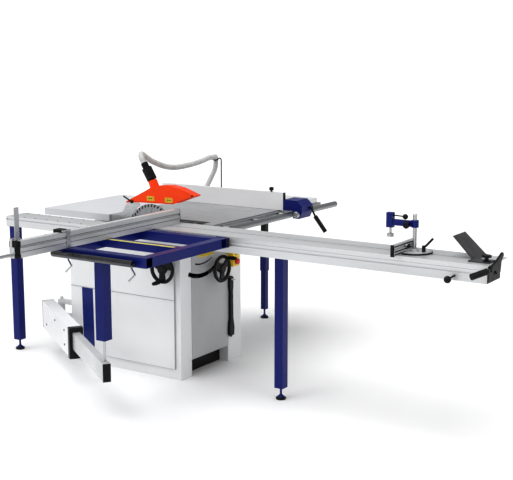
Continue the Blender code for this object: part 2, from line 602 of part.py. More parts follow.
def swing_arm(machine, look):
    """Box arm on a hinge post behind the cabinet, and the profile that slides out of it to carry the outrigger."""
    low, high = 0.146, 0.312
    box = arm_block(0.010, 0.742, -0.035, 0.035, low, high)
    hollow = arm_block(0.013, 0.80, -0.032, 0.032, low + 0.003, high - 0.003)
    ear = arm_block(-0.025, 0.090, 0.032, 0.060, 0.225, 0.285)
    eye = rod((ARM_HINGE.x, ARM_HINGE.y, 0.225), (ARM_HINGE.x, ARM_HINGE.y, 0.285), 0.020, 20)
    web = arm_block(-0.025, 0.025, 0.045, ARM_LINE_OFFSET, 0.230, 0.280)
    pin_bore = rod((ARM_HINGE.x, ARM_HINGE.y, 0.2), (ARM_HINGE.x, ARM_HINGE.y, 0.3), 0.0105, 20)
    machine.add(
        "swing_arm_outer", look["off_white"], box, joined=(ear, eye, web), cut=(hollow,
            pin_bore), pivot=ARM_HINGE
    )
    profile = arm_block(0.500, 1.386, -0.020, 0.020, 0.196, ARM_TOP_Z)
    bore = arm_block(0.490, 1.340, -0.016, 0.016, 0.200, ARM_TOP_Z - 0.004)
    boss_at = along_arm(1.361, 0.0, 0.0)
    boss = rod(boss_at + Vector((0, 0, 0.20)), boss_at + Vector((0, 0, ARM_TOP_Z + 0.006)), 0.013, 16)
    rollers = [arm_block(0.505, 0.535, -0.031, 0.031, z0, z1) for z0, z1 in ((low + 0.004, 0.198), (0.288,
        high - 0.004))]
    machine.add("swing_arm_inner", look["aluminium"], profile, joined=(boss, *rollers), cut=(bore,),
        pivot=ARM_HINGE)
    pin = rod((ARM_HINGE.x, ARM_HINGE.y, 0.205), (ARM_HINGE.x, ARM_HINGE.y, 0.325), 0.010, 20)
    x1 = -CABINET.x - GAP
    upper = block((ARM_HINGE.x - 0.016, ARM_HINGE.y - 0.016, 0.2855),
        (x1 - 0.002, ARM_HINGE.y + 0.016, 0.310))
    lower = block((ARM_HINGE.x - 0.016, ARM_HINGE.y - 0.016, 0.205),
        (x1 - 0.002, ARM_HINGE.y + 0.016, 0.2245))
    plate = block((x1 - 0.006, ARM_HINGE.y - 0.040, 0.185), (x1, ARM_HINGE.y + 0.040, 0.330))
    machine.add("swing_arm_bracket", look["off_white"], plate, joined=(upper, lower, pin))


def crosscut_fence(machine, look):
    x0, x1 = CROSS_X
    y0, y1 = CROSS_Y
    low, high = TABLE_Z + GAP, TABLE_Z + CROSS_H
    mid = low + 0.046
    outline = [(x0, low), (x1, low), (x1, mid), (x1 - 0.008, mid), (x1 - 0.008, mid + 0.007),
        (x1, mid + 0.007), (x1, high), (x0, high)]
    shape = prism(outline, "Y", y0, y1)
    upper = block((x0 + 0.004, y0 - 0.01, low + 0.038), (x1 - 0.014, y1 + 0.01, high - 0.004))
    lower = block((x0 + 0.006, y0 - 0.01, low + 0.005), (x1 - 0.006, y1 + 0.01, low + 0.033))
    machine.add("crosscut_fence", look["aluminium"], shape, cut=(upper, lower), pivot=CROSS_PIVOT)
    middle = ((x0 + x1) / 2, low + 0.019)
    bar = rod((middle[0], y0 - 0.118, middle[1]), (middle[0], y0 + 0.700, middle[1]), 0.008, 16)
    neck = block((x0 + 0.004, y0 - 0.036, low + 0.003), (x1 - 0.004, y0 - 0.0005, low + 0.055))
    mast = block((x0 + 0.004, y0 - 0.034, low + 0.003), (x0 + 0.0195, y0 - 0.0005, high + 0.014))
    machine.add("extension_bar", look["steel"], bar, joined=(neck, mast), pivot=CROSS_PIVOT)
    hinge = Vector((x0 + 0.026, y0 - 0.0055, high + 0.0085))
    barrel = rod(hinge + Vector((0, -0.018, 0)), hinge + Vector((0, 0.018, 0)), 0.0055, 12)
    flag = block((hinge.x - 0.003, hinge.y - 0.014, hinge.z),
        (hinge.x + 0.001, hinge.y + 0.014, hinge.z + 0.149))
    machine.add("end_stop_finger", look["steel"], barrel, joined=(flag,), pivot=hinge)
    stop_block(machine, look)
    lever = Vector((x0 - 0.004, y0 + 0.030, low + 0.019))
    screw = rod(lever + Vector((0.0037, 0, 0)), lever + Vector((-0.016, 0, 0)), 0.006, 10)
    arm = rod(lever + Vector((-0.012, 0, 0)), lever + Vector((-0.016, 0.088, -0.022)), 0.0050, 10, 0.0065)
    machine.add("extension_lever", look["black"], screw, joined=(arm,), pivot=lever)


def stop_block(machine, look):
    """Flip stop that slides along the crosscut fence: saddle behind and over the fence, and a swinging finger."""
    x0, x1 = CROSS_X
    y = -0.770
    high = TABLE_Z + CROSS_H
    back = block((x0 - 0.016, y - 0.022, high - 0.050), (x0 - 0.0005, y + 0.022, high + 0.014))
    top = block((x0 - 0.010, y - 0.022, high + 0.0005), (x1 - 0.004, y + 0.022, high + 0.014))
    screw = rod((x0 - 0.012, y, high - 0.030), (x0 - 0.030, y, high - 0.030), 0.006, 10)
    grip = rod((x0 - 0.026, y, high - 0.030), (x0 - 0.034, y - 0.060, high - 0.012), 0.006, 10)
    machine.add("stop_block", look["black"], back, joined=(top, screw, grip), pivot=CROSS_PIVOT)
    hinge = Vector((x1 + 0.004, y, high + 0.008))
    barrel = rod(hinge + Vector((0, -0.020, 0)), hinge + Vector((0, 0.034, 0)), 0.005, 12)
    finger = block((hinge.x - 0.002, y + 0.010, TABLE_Z + 0.006), (hinge.x + 0.003, y + 0.034, hinge.z))
    machine.add("stop_finger", look["steel"], barrel, joined=(finger,), pivot=hinge)


# ---------------------------------------------------------------- things on the carriage's front end
def front_accessories(machine, look):
    mitre_gauge(machine, look)
    hold_down(machine, look)
    end_fittings(machine, look)


def mitre_gauge(machine, look):
    """Round base with the column, keyed in the carriage's slot, and the short fence that turns on it."""
    x, y, z = MITRE
    z += GAP
    base = rod((x, y, z), (x, y, z + 0.008), 0.088, 36)
    key = block((x - 0.060, SLOT_Y - 0.0055, z - 0.009), (x + 0.060, SLOT_Y + 0.0055, z + 0.002))
    column = rod((x, y, z + 0.005), (x, y, 1.032), 0.0095, 16)
    head = rod((x + 0.053, y - 0.010, z + 0.005), (x + 0.053, y - 0.010, z + 0.018), 0.009, 12)
    machine.add("mitre_base", look["cast_dark"], base, joined=(key, column, head), pivot=MITRE)
    fence_x = x - 0.025
    rail = block((fence_x - 0.018, y - 0.168, z), (fence_x, y + 0.052, z + 0.0555))
    room = rod((x, y, z - 0.01), (x, y, z + 0.0085), 0.0885, 36)
    groove = block((fence_x - 0.006, y - 0.2, z + 0.032), (fence_x + 0.01, y + 0.2, z + 0.039))
    ring = rod((x, y, z + 0.0085), (x, y, z + 0.020), 0.022, 20)
    eye = rod((x, y, z), (x, y, z + 0.03), 0.0100, 20)
    yoke = block((fence_x - 0.004, y - 0.045, z + 0.0085), (x - 0.012, y + 0.018, z + 0.020))
    bolts = [rod((fence_x - 0.004, y + d, z + 0.036), (fence_x + 0.014, y + d, z + 0.036), 0.009,
        12) for d in (-0.040, 0.030)]
    machine.add(
        "mitre_fence", look["aluminium"], rail, joined=(ring, yoke, *bolts), cut=(room, groove,
            eye), pivot=MITRE
    )
    axis = Vector((x + 0.053, y - 0.010, z + 0.0185))
    hub = rod(axis, axis + Vector((0, 0, 0.020)), 0.009, 12)
    way = [axis + Vector((0, 0, 0.013)), axis + Vector((0.012, 0.003, 0.022)),
        axis + Vector((0.040, 0.014, 0.056))]
    machine.add("mitre_lever", look["black"], hub, joined=(bent_rod(way, 0.0055, 8),), pivot=axis)


def hold_down(machine, look):
    """Clamp on the column: arm, eccentric lever with ball, and the pressure foot on its rod."""
    column = Vector((MITRE.x, MITRE.y, TABLE_Z))
    z = 0.987
    tip_x = column.x - 0.127
    eye = rod((column.x, column.y, z - 0.016), (column.x, column.y, z + 0.018), 0.018, 20)
    bar = block((tip_x, column.y - 0.011, z - 0.014), (column.x, column.y + 0.011, z + 0.014))
    head = block((tip_x - 0.018, column.y - 0.014, z - 0.026), (tip_x + 0.014, column.y + 0.014, z + 0.046))
    bore = rod((column.x, column.y, z - 0.1), (column.x, column.y, z + 0.1), 0.0100, 16)
    rod_bore = rod((tip_x, column.y, z - 0.1), (tip_x, column.y, z + 0.03), 0.0065, 12)
    notch = block((tip_x - 0.008, column.y - 0.0055, z + 0.024), (tip_x + 0.02, column.y + 0.0055, z + 0.06))
    knob_stem = rod((column.x - 0.030, column.y - 0.008, z), (column.x - 0.030, column.y - 0.030,
        z - 0.004), 0.006, 10)
    knob = rod((column.x - 0.030, column.y - 0.024, z - 0.003), (column.x - 0.030, column.y - 0.040,
        z - 0.006), 0.015, 14)
    machine.add(
        "clamp_arm", look["navy"], eye, joined=(bar, head, knob_stem, knob), cut=(bore, rod_bore,
            notch), pivot=column
    )
    hinge = Vector((tip_x + 0.002, column.y, z + 0.034))
    cam = rod(hinge + Vector((0, -0.0050, 0)), hinge + Vector((0, 0.0050, 0)), 0.0085, 14)
    handle = rod(hinge, hinge + Vector((0.066, 0, -0.003)), 0.003, 8)
    ball = turned(ball_profile(0.0135), hinge + Vector((0.074, 0, -0.0035)), (1, 0, 0), 14)
    machine.add("clamp_lever", look["black"], cam, joined=(handle, ball), pivot=hinge)
    stem = rod((tip_x, column.y, z - 0.060), (tip_x, column.y, z + 0.0165), 0.006, 12)
    pad = rod((tip_x, column.y, z - 0.071), (tip_x, column.y, z - 0.056), 0.0165, 16)
    machine.add("clamp_foot", look["steel"], stem, joined=(pad,), pivot=(tip_x, column.y, z))


def ball_profile(radius):
    turns = [math.pi * (i / 6 - 0.5) for i in range(7)]
    return [(max(0.0, radius * math.cos(a)) if 0 < i < 6 else 0.0, radius * math.sin(a)) for i,
        a in enumerate(turns)]


def end_fittings(machine, look):
    x1 = CARRIAGE_X[1]
    z = TABLE_Z + GAP
    slope = [(1.552, 0.950), (1.557, 0.953), (1.664, z + 0.006), (1.672, z + 0.006), (1.672, z), (1.650, z)]
    plate = prism(slope, "Y", 0.045, 0.184)
    tongue = block((1.655, -0.018, z), (1.757, 0.060, z + 0.006))
    place = Vector((1.738, 0.0, z + 0.0065))
    stud = rod((place.x, 0, z + 0.004), (place.x, 0, z + 0.024), 0.004, 10)
    machine.add("edging_shoe", look["cast_dark"], plate, joined=(tongue, stud))
    bore = rod((place.x, 0, z), (place.x, 0, z + 0.0255), 0.0045, 10)
    knob = [(0.0, 0.0), (0.017, 0.0), (0.017, 0.005), (0.009, 0.007), (0.009, 0.018), (0.022, 0.020),
        (0.022, 0.030), (0.0, 0.032)]
    machine.add("shoe_knob", look["black"], turned(knob, place, (0, 0, 1), 16), cut=(bore,), pivot=place,
        smooth=True)
    edge = [
        (-0.035, 0.828), (-0.018, 0.845), (0.030, 0.858), (0.104, 0.887), (0.112, 0.873), (0.085, 0.850),
        (0.076, 0.800), (0.035, 0.797), (0.015, 0.818), (-0.030, 0.818),
    ]
    end_plate = prism(edge, "X", x1 + GAP, x1 + 0.012)
    grip_from = Vector((x1 + 0.0065, -0.030, 0.829))
    shank = rod(grip_from, grip_from + Vector((0.0, -0.060, 0.0)), 0.005, 10)
    grip_start = grip_from + Vector((0.002, -0.055, 0.001))
    grip = rod(grip_start, grip_start + Vector((-0.048, -0.066, -0.020)), 0.015, 14)
    machine.add("push_handle", look["black"], end_plate, joined=(shank, grip))
    start = Vector((1.613, BEAM_Y[0] - 0.003, 0.790))
    stem = rod(start, start + Vector((-0.012, -0.028, -0.009)), 0.0045, 10)
    ball = turned(ball_profile(0.0175), start + Vector((-0.017, -0.043, -0.014)), (0, 1, 0), 16)
    machine.add("table_lock_knob", look["black"], stem, joined=(ball,), pivot=start)


# ---------------------------------------------------------------- rip fence
def rip_fence(machine, look):
    """Round rail with its angle bar, the casting that rides on it, the fence board and the clamp lever."""
    far = 1.388
    bar = rod((RAIL_X, 0.215, RAIL_Z), (RAIL_X, far, RAIL_Z), RAIL_R, 24)
    studs = [rod((RAIL_X, y, RAIL_Z), (MAIN_X[1] + 0.020, y, RAIL_Z), 0.008, 12) for y in (0.255, 0.560,
        0.840)]
    x0, x1 = MAIN_X[1] + GAP, MAIN_X[1] + 0.030
    strip = block((x0, 0.215, 0.812), (x1, 1.345, 0.846))
    machine.add("rip_rail", look["steel"], bar, joined=(strip, *studs), smooth=True)
    y0, y1 = FENCE_BOARD_Y - 0.008, FENCE_BOARD_Y + 0.122
    side = [
        (0.120, TABLE_Z + 0.004), (0.150, RAIL_Z - 0.010), (0.166, RAIL_Z - 0.026), (0.232, RAIL_Z - 0.026),
        (0.250, 0.850), (0.250, 0.884), (0.212, 0.918), (0.120, 0.918),
    ]
    casting = prism(side, "Y", y0, y1)
    tunnel = rod((RAIL_X, 0.5, RAIL_Z), (RAIL_X, 1.5, RAIL_Z), RAIL_R + GAP, 24)
    mouth = block((0.060, 0.5, RAIL_Z - 0.10), (RAIL_X, 1.5, RAIL_Z + RAIL_R + GAP))
    arm = block((-0.420, FENCE_BOARD_Y + 0.0285, TABLE_Z + 0.012),
        (0.125, FENCE_BOARD_Y + 0.052, TABLE_Z + 0.055))
    stem = rod((0.2275, y0 + 0.004, 0.838), (0.2275, y0 - 0.018, 0.838), 0.006, 10)
    knob = rod((0.2275, y0 - 0.016, 0.838), (0.2275, y0 - 0.034, 0.838), 0.0175, 20)
    machine.add("rip_fence_carriage", look["navy"], casting, joined=(arm, stem, knob), cut=(tunnel, mouth))
    board = block((-0.800, FENCE_BOARD_Y, TABLE_Z + 0.0010), (0.114, FENCE_BOARD_Y + 0.028, 0.957))
    chamber = block((-0.810, FENCE_BOARD_Y + 0.004, TABLE_Z + 0.016), (0.12, FENCE_BOARD_Y + 0.022, 0.949))
    finial = [(0.0, 0.0), (0.005, 0.0), (0.005, 0.009), (0.013, 0.013), (0.013, 0.026), (0.0, 0.030)]
    place = (0.024, FENCE_BOARD_Y + 0.013, 0.955)
    machine.add("rip_fence_board", look["white"], board, joined=(turned(finial, place, (0, 0, 1), 14),),
        cut=(chamber,))
    hinge = Vector((0.2505 + GAP, y1 - 0.028, 0.866))
    hub = rod(hinge, hinge + Vector((0.014, 0, 0)), 0.010, 12)
    elbow = hinge + Vector((0.010, 0, -0.006))
    shank = rod(elbow, elbow + Vector((0.022, 0.004, -0.046)), 0.006, 10)
    grip = rod(elbow + Vector((0.020, 0.004, -0.042)), elbow + Vector((0.086, 0.016, -0.134)), 0.013, 12)
    machine.add("rip_fence_lever", look["black"], hub, joined=(shank, grip), pivot=hinge)


# ---------------------------------------------------------------- controls, push stick, hose
def controls(machine, look):
    box = block((0.0045, 0.4565 - 0.012, 0.572), (0.046, 0.508, 0.668))
    holes = [rod((0.03, 0.476, z), (0.06, 0.476, z), r, 16) for z, r in ((0.600, 0.0105), (0.645, 0.0085))]
    machine.add("switch_box", look["yellow"], box, cut=holes)
    stop = turned([(0.0, 0.0), (0.010, 0.0), (0.010, 0.0155), (0.017, 0.0175), (0.017, 0.0255),
        (0.0, 0.0285)], (0.0365, 0.476, 0.600), (1, 0, 0), 16)
    machine.add("stop_button", look["red"], stop, pivot=(0.046, 0.476, 0.600), smooth=True)
    start = rod((0.0365, 0.476, 0.645), (0.050, 0.476, 0.645), 0.008, 14)
    machine.add("start_button", look["green"], start, pivot=(0.046, 0.476, 0.645), smooth=True)
    y, z = 0.4670, 0.492
    stick = [
        (y - 0.018, z + 0.012), (y - 0.018, z - 0.045), (y - 0.012, z - 0.070), (y - 0.012, z - 0.230),
        (y - 0.022, z - 0.285),
        (y - 0.020, z - 0.330), (y - 0.004, z - 0.344), (y + 0.006, z - 0.334), (y + 0.022, z - 0.336),
        (y + 0.026, z - 0.290),
        (y + 0.014, z - 0.230), (y + 0.012, z - 0.070), (y + 0.016, z - 0.040), (y + 0.016, z + 0.012),
        (y, z + 0.020),
    ]
    hole = rod((-0.01, y, z), (0.06, y, z), 0.0056, 10)
    machine.add("push_stick", look["black"], prism(stick, "X", 0.0065, 0.0225), cut=(hole,),
        pivot=(0.010, y, z))


HOOK = Vector((-0.660, 1.345, TABLE_Z))
HOSE_R = 0.0170


def bend(start, way_in, way_out, radius, steps):
    """Points of an arc that leaves start along way_in and ends heading along way_out."""
    way_in, way_out = Vector(way_in).normalized(), Vector(way_out).normalized()
    turn = way_in.angle(way_out)
    side = (way_out - way_in * way_out.dot(way_in)).normalized()
    centre = Vector(start) + radius * side
    angles = [turn * i / steps for i in range(steps + 1)]
    return [centre - radius * math.cos(a) * side + radius * math.sin(a) * way_in for a in angles]


def hose_routes():
    """The hose over the guard, and from there over the hook and down to the port.

    The flexing stretch between the two is left open, so that the blade can be lowered and tilted.
    """
    start = CUFF + (CUFF_LENGTH + 0.0005) * CUFF_WAY
    over = bend(start + 0.008 * CUFF_WAY, CUFF_WAY, (-0.224, 0.898, -0.379), 0.056, 5)
    near = [start, *over, (-0.468, 0.345, 1.168), (-0.4806, 0.402, 1.1488)]
    far = [
        (-0.500, 0.490, 1.1235), (-0.524, 0.590, 1.103), (-0.546, 0.683, 1.091),
        (-0.563, 0.758, 1.087), (-0.581, 0.833, 1.085), (-0.599, 0.911, 1.0845), (-0.618, 0.990, 1.085),
        (-0.634, 1.056, 1.087), (-0.650, 1.121, 1.090), (-0.673, 1.222, 1.098),
    ]
    far += bend((-0.700, 1.328, 1.0955), (-0.40, 0.915, -0.03), (0.02, -0.20, -0.98), 0.045, 7)
    far += [
        (-0.731, 1.370, 1.005), (-0.741, 1.352, 0.965), (-0.749, 1.322, 0.918), (-0.755, 1.270, 0.858),
        (-0.765, 1.185, 0.780), (-0.779, 1.080, 0.700), (-0.800, 0.955, 0.608), (-0.828, 0.825, 0.512),
        (-0.862, 0.700, 0.420), (-0.902, 0.585, 0.337), (-0.938, 0.490, 0.270), (-0.961, 0.420, 0.225),
    ]
    far += bend((-0.970, 0.368, 0.204), (-0.02, -1.0, -0.06), (1, 0, 0), 0.068, 5)
    far[-1].y, far[-1].z = PORT
    return near, [*far, Vector((PORT_END - GAP, *PORT))]


def hose(machine, look, name, route):
    curve = bpy.data.curves.new(name, "CURVE")
    curve.dimensions = "3D"
    curve.bevel_depth = HOSE_R
    curve.bevel_resolution = 2
    curve.use_fill_caps = True
    spline = curve.splines.new("POLY")
    spline.points.add(len(route) - 1)
    for point, place in zip(spline.points, route):
        point.co = (*place, 1.0)
    curve.materials.append(look["hose"])
    obj = bpy.data.objects.new(name, curve)
    obj.parent = machine.root
    bpy.context.scene.collection.objects.link(obj)


def hose_and_hook(machine, look):
    x, y, z = HOOK
    wire = [
        (x, y, z + GAP), (x, y, z + 0.224), (x - 0.005, y - 0.002, z + 0.236),
        (x - 0.013, y - 0.005, z + 0.236),
        (x - 0.022, y - 0.009, z + 0.228), (x - 0.031, y - 0.014, z + 0.222),
        (x - 0.045, y - 0.020, z + 0.222),
        (x - 0.060, y - 0.027, z + 0.232),
    ]
    foot = rod((x, y, z + GAP), (x, y, z + 0.008), 0.016, 14)
    machine.add("hose_hook", look["steel"], bent_rod(wire, 0.004, 8), joined=(foot,))
    near, far = hose_routes()
    hose(machine, look, "hose_near", near)
    hose(machine, look, "hose_far", far)


def paints():
    return {
        "white": paint("painted_white", (0.86, 0.87, 0.88), 0.35),
        "off_white": paint("painted_light_grey", (0.72, 0.73, 0.74), 0.4),
        "grey": paint("painted_grey", (0.46, 0.47, 0.48), 0.45),
        "cast_grey": paint("ground_cast_iron", (0.42, 0.43, 0.44), 0.35, 0.8),
        "cast_dark": paint("dark_cast_iron", (0.10, 0.11, 0.12), 0.5, 0.5),
        "navy": paint("navy_paint", (0.02, 0.04, 0.22), 0.35),
        "orange": paint("orange_plastic", (0.90, 0.10, 0.01), 0.4),
        "black": paint("black_plastic", (0.02, 0.02, 0.02), 0.45),
        "steel": paint("bright_steel", (0.62, 0.62, 0.63), 0.3, 1.0),
        "chrome": paint("chrome", (0.75, 0.75, 0.76), 0.12, 1.0),
        "aluminium": paint("satin_aluminium", (0.70, 0.71, 0.72), 0.35, 0.9),
        "motor": paint("motor_grey", (0.30, 0.33, 0.36), 0.5, 0.3),
        "yellow": paint("yellow_plastic", (0.75, 0.50, 0.05), 0.45),
        "red": paint("red_plastic", (0.65, 0.02, 0.02), 0.4),
        "green": paint("green_plastic", (0.02, 0.35, 0.06), 0.4),
        "hose": paint("grey_hose", (0.75, 0.75, 0.75), 0.5),
    }


def main():
    clear_scene()
    look = paints()
    machine = Machine()
    cabinet_parts(machine, look)
    tables(machine, look)
    beam_and_legs(machine, look)
    blade_unit(machine, look)
    tilt_wheel(machine, look)
    sliding_side(machine, look)
    front_accessories(machine, look)
    rip_fence(machine, look)
    controls(machine, look)
    hose_and_hook(machine, look)


main()
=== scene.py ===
"""Looks of a sliding table panel saw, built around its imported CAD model. Metres, +Z up."""
import math

import bmesh
import bpy
from mathutils import Matrix, Vector

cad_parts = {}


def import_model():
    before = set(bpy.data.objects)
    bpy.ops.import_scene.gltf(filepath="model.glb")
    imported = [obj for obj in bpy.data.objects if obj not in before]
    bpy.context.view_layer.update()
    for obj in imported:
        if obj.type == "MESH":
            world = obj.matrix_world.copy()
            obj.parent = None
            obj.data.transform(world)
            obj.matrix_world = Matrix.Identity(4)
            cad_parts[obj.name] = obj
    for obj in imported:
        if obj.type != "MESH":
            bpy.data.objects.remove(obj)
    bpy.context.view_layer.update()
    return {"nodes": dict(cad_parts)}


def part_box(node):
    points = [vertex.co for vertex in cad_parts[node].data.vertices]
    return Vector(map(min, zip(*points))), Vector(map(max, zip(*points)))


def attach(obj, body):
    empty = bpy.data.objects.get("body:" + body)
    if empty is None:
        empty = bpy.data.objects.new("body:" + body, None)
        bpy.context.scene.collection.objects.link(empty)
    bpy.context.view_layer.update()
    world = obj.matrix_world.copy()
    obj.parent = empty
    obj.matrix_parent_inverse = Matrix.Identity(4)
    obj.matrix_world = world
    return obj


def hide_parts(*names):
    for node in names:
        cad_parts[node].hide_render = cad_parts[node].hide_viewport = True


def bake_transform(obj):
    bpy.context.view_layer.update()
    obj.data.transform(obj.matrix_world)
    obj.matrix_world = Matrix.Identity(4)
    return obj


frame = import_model()

CAMERA_AT = (3.2034, -4.7275, 1.797)
CAMERA_TURN = (math.radians(90 - 9.98), 0.0, math.radians(33.0))
LENS, SENSOR = 75.48, 36.0

# The places below are in the design's own axes, as the part was drawn, and at() moves them to
# the frame's.
SHIFT = Vector((-0.2636, -0.1525, 0.0))
BLADE_Y = 0.197  # the plane of the blade, and the middle of the guard
ARBOR = (-0.345, BLADE_Y, 0.7785)
NOZZLE, NOZZLE_WAY = Vector((-0.318, BLADE_Y, 1.030)), Vector((-0.400, 0, 0.917))
CUFF, CUFF_WAY = NOZZLE + 0.052 * NOZZLE_WAY, Vector((-0.530, 0, 0.848))
CUFF_NECK = 0.052  # from the cuff's start to its ribs
ARM_HINGE = (-1.005, 0.135)
ARM_OFFSET = -0.0846  # from the swing arm's hinge to its centre line
ARM_ANGLE = math.radians(-34.5)
MITRE_PIVOT = (1.352, 0.0635)
FEET = (-1.2195, -0.015), (0.6275, 0.032), (-0.383, 1.4535)
STRIP = (-0.705, 0.100, -0.00642), (-0.622, 0.447, -0.00998)  # two corners: along, up, and depth

HOSE_R = 0.0170
RIB_PITCH = 0.0070
RIB_DEPTHS = (0.0, 0.0009, 0.0022)  # crest, shoulder and valley
HOSE_SIDES = 18
FINE_STEP = 0.002  # between the points that a curve's length is measured from
TINY_R = 1e-5  # a turned profile's radius where it meets its axis


def at(x, y, z):
    """A point given in the design's axes, in the frame's."""
    return Vector((x, y, z)) + SHIFT


HOSE_JOINT = at(-0.4806, 0.402, 1.1488)  # the run from the guard meets the hanging run


# ---------------------------------------------------------------- camera and lights
def camera():
    data = bpy.data.cameras.new("camera")
    data.lens, data.sensor_width = LENS, SENSOR
    obj = bpy.data.objects.new("camera", data)
    obj.location, obj.rotation_euler = CAMERA_AT, CAMERA_TURN
    bpy.context.scene.collection.objects.link(obj)
    bpy.context.scene.camera = obj


def soft_sun(name, towards, strength, spread):
    """A sun that shines from the side that towards points to, its disc as wide as the spread."""
    data = bpy.data.lights.new(name, "SUN")
    data.energy, data.angle = strength, math.radians(spread)
    obj = bpy.data.objects.new(name, data)
    obj.rotation_euler = Vector(towards).to_track_quat("Z", "Y").to_euler()
    bpy.context.scene.collection.objects.link(obj)


# ---------------------------------------------------------------- materials
EVEN = (1, 1, 1)  # a pattern that isn't stretched
SPECULAR = 0.22


class Paint:
    """A material under construction: its Principled shader, and short ways to vary it."""

    def __init__(self, name, colour, roughness, metallic=0.0, coat=0.0):
        self.mat = bpy.data.materials.new(name)
        self.mat.use_nodes = True
        self.nodes, self.links = self.mat.node_tree.nodes, self.mat.node_tree.links
        self.inputs = self.nodes["Principled BSDF"].inputs
        self.inputs["Base Color"].default_value = (*colour, 1)
        self.inputs["Roughness"].default_value = roughness
        self.inputs["Metallic"].default_value = metallic
        self.inputs["Coat Weight"].default_value = coat
        self.inputs["Specular IOR Level"].default_value = SPECULAR
        self.colour = colour

    def noise(self, scale, detail, stretch):
        where = self.nodes.new("ShaderNodeTexCoord")
        sized = self.nodes.new("ShaderNodeMapping")
        sized.inputs["Scale"].default_value = stretch
        self.links.new(where.outputs["Object"], sized.inputs["Vector"])
        made = self.nodes.new("ShaderNodeTexNoise")
        made.inputs["Scale"].default_value, made.inputs["Detail"].default_value = scale, detail
        self.links.new(sized.outputs["Vector"], made.inputs["Vector"])
        return made.outputs["Fac"]

    def ramp(self, value, start, first, end, last):
        """The value remapped: start gives first, and end gives last."""
        made = self.nodes.new("ShaderNodeMapRange")
        made.inputs["From Min"].default_value, made.inputs["To Min"].default_value = start, first
        made.inputs["From Max"].default_value, made.inputs["To Max"].default_value = end, last
        self.links.new(value, made.inputs["Value"])
        return made.outputs["Result"]

    def vary(self, scale, other, stretch=EVEN):
        """Patches of another colour."""
        share = self.ramp(self.noise(scale, 5.0, stretch), 0.35, 0.0, 0.7, 1.0)
        mix = self.nodes.new("ShaderNodeMix")
        mix.data_type = "RGBA"
        mix.inputs["A"].default_value = (*self.colour, 1)
        mix.inputs["B"].default_value = (*other, 1)
        self.links.new(share, mix.inputs["Factor"])
        self.links.new(mix.outputs["Result"], self.inputs["Base Color"])
        return self

    def rough(self, scale, low, high, stretch=EVEN):
        """Roughness between low and high, in patches."""
        patches = self.ramp(self.noise(scale, 5.0, stretch), 0.3, low, 0.7, high)
        self.links.new(patches, self.inputs["Roughness"])
        return self

    def grain(self, scale, depth, stretch=EVEN):
        """A fine bump of this depth."""
        made = self.nodes.new("ShaderNodeBump")
        made.inputs["Distance"].default_value, made.inputs["Strength"].default_value = depth, 0.5
        self.links.new(self.noise(scale, 3.0, stretch), made.inputs["Height"])
        self.links.new(made.outputs["Normal"], self.inputs["Normal"])
        return self


def coats():
    """Paints of the sheet metal, the castings and the legs, with painted shade: a darker navy for
    the far leg, and grey for the cover's shadow lines.
    """
    return {
        "white": Paint("white_coat", (0.70, 0.71, 0.73), 0.36, coat=0.1)
        .vary(2.2, (0.65, 0.66, 0.685)).rough(9, 0.28, 0.42).grain(900, 0.00006),
        "cab": Paint("cabinet_coat", (0.80, 0.805, 0.81), 0.42, coat=0.1)
        .vary(1.6, (0.74, 0.745, 0.755)).rough(7, 0.36, 0.5).grain(900, 0.00008),
        "panel": Paint("panel_coat", (0.49, 0.495, 0.50), 0.45)
        .vary(3, (0.43, 0.435, 0.44)).rough(9, 0.38, 0.52).grain(900, 0.00008),
        "navy": Paint("navy_coat", (0.004, 0.010, 0.135), 0.36, coat=0.05)
        .vary(5, (0.005, 0.013, 0.155)).rough(12, 0.28, 0.40).grain(700, 0.00003),
        # A darker copy of the legs' navy: painted shade for the far leg, which stands in the shade
        # under the tables.
        "shaded_navy": Paint("far_leg_painted_shade", (0.004, 0.009, 0.105), 0.38)
        .vary(5, (0.005, 0.011, 0.125)).rough(12, 0.3, 0.42),
        "slate": Paint("slate_plate", (0.060, 0.060, 0.064), 0.45, 0.2)
        .vary(14, (0.085, 0.085, 0.09)).rough(24, 0.36, 0.55).grain(300, 0.0002),
        "motor": Paint("motor_shell", (0.16, 0.18, 0.20), 0.5, 0.2)
        .vary(16, (0.12, 0.14, 0.16)).grain(300, 0.0003),
        # Grey painted as the shadow in the cabinet cover's creases.
        "shade": Paint("shadow_gap", (0.40, 0.40, 0.41), 0.6)
        .vary(12, (0.34, 0.34, 0.35)).rough(20, 0.5, 0.7),
    }


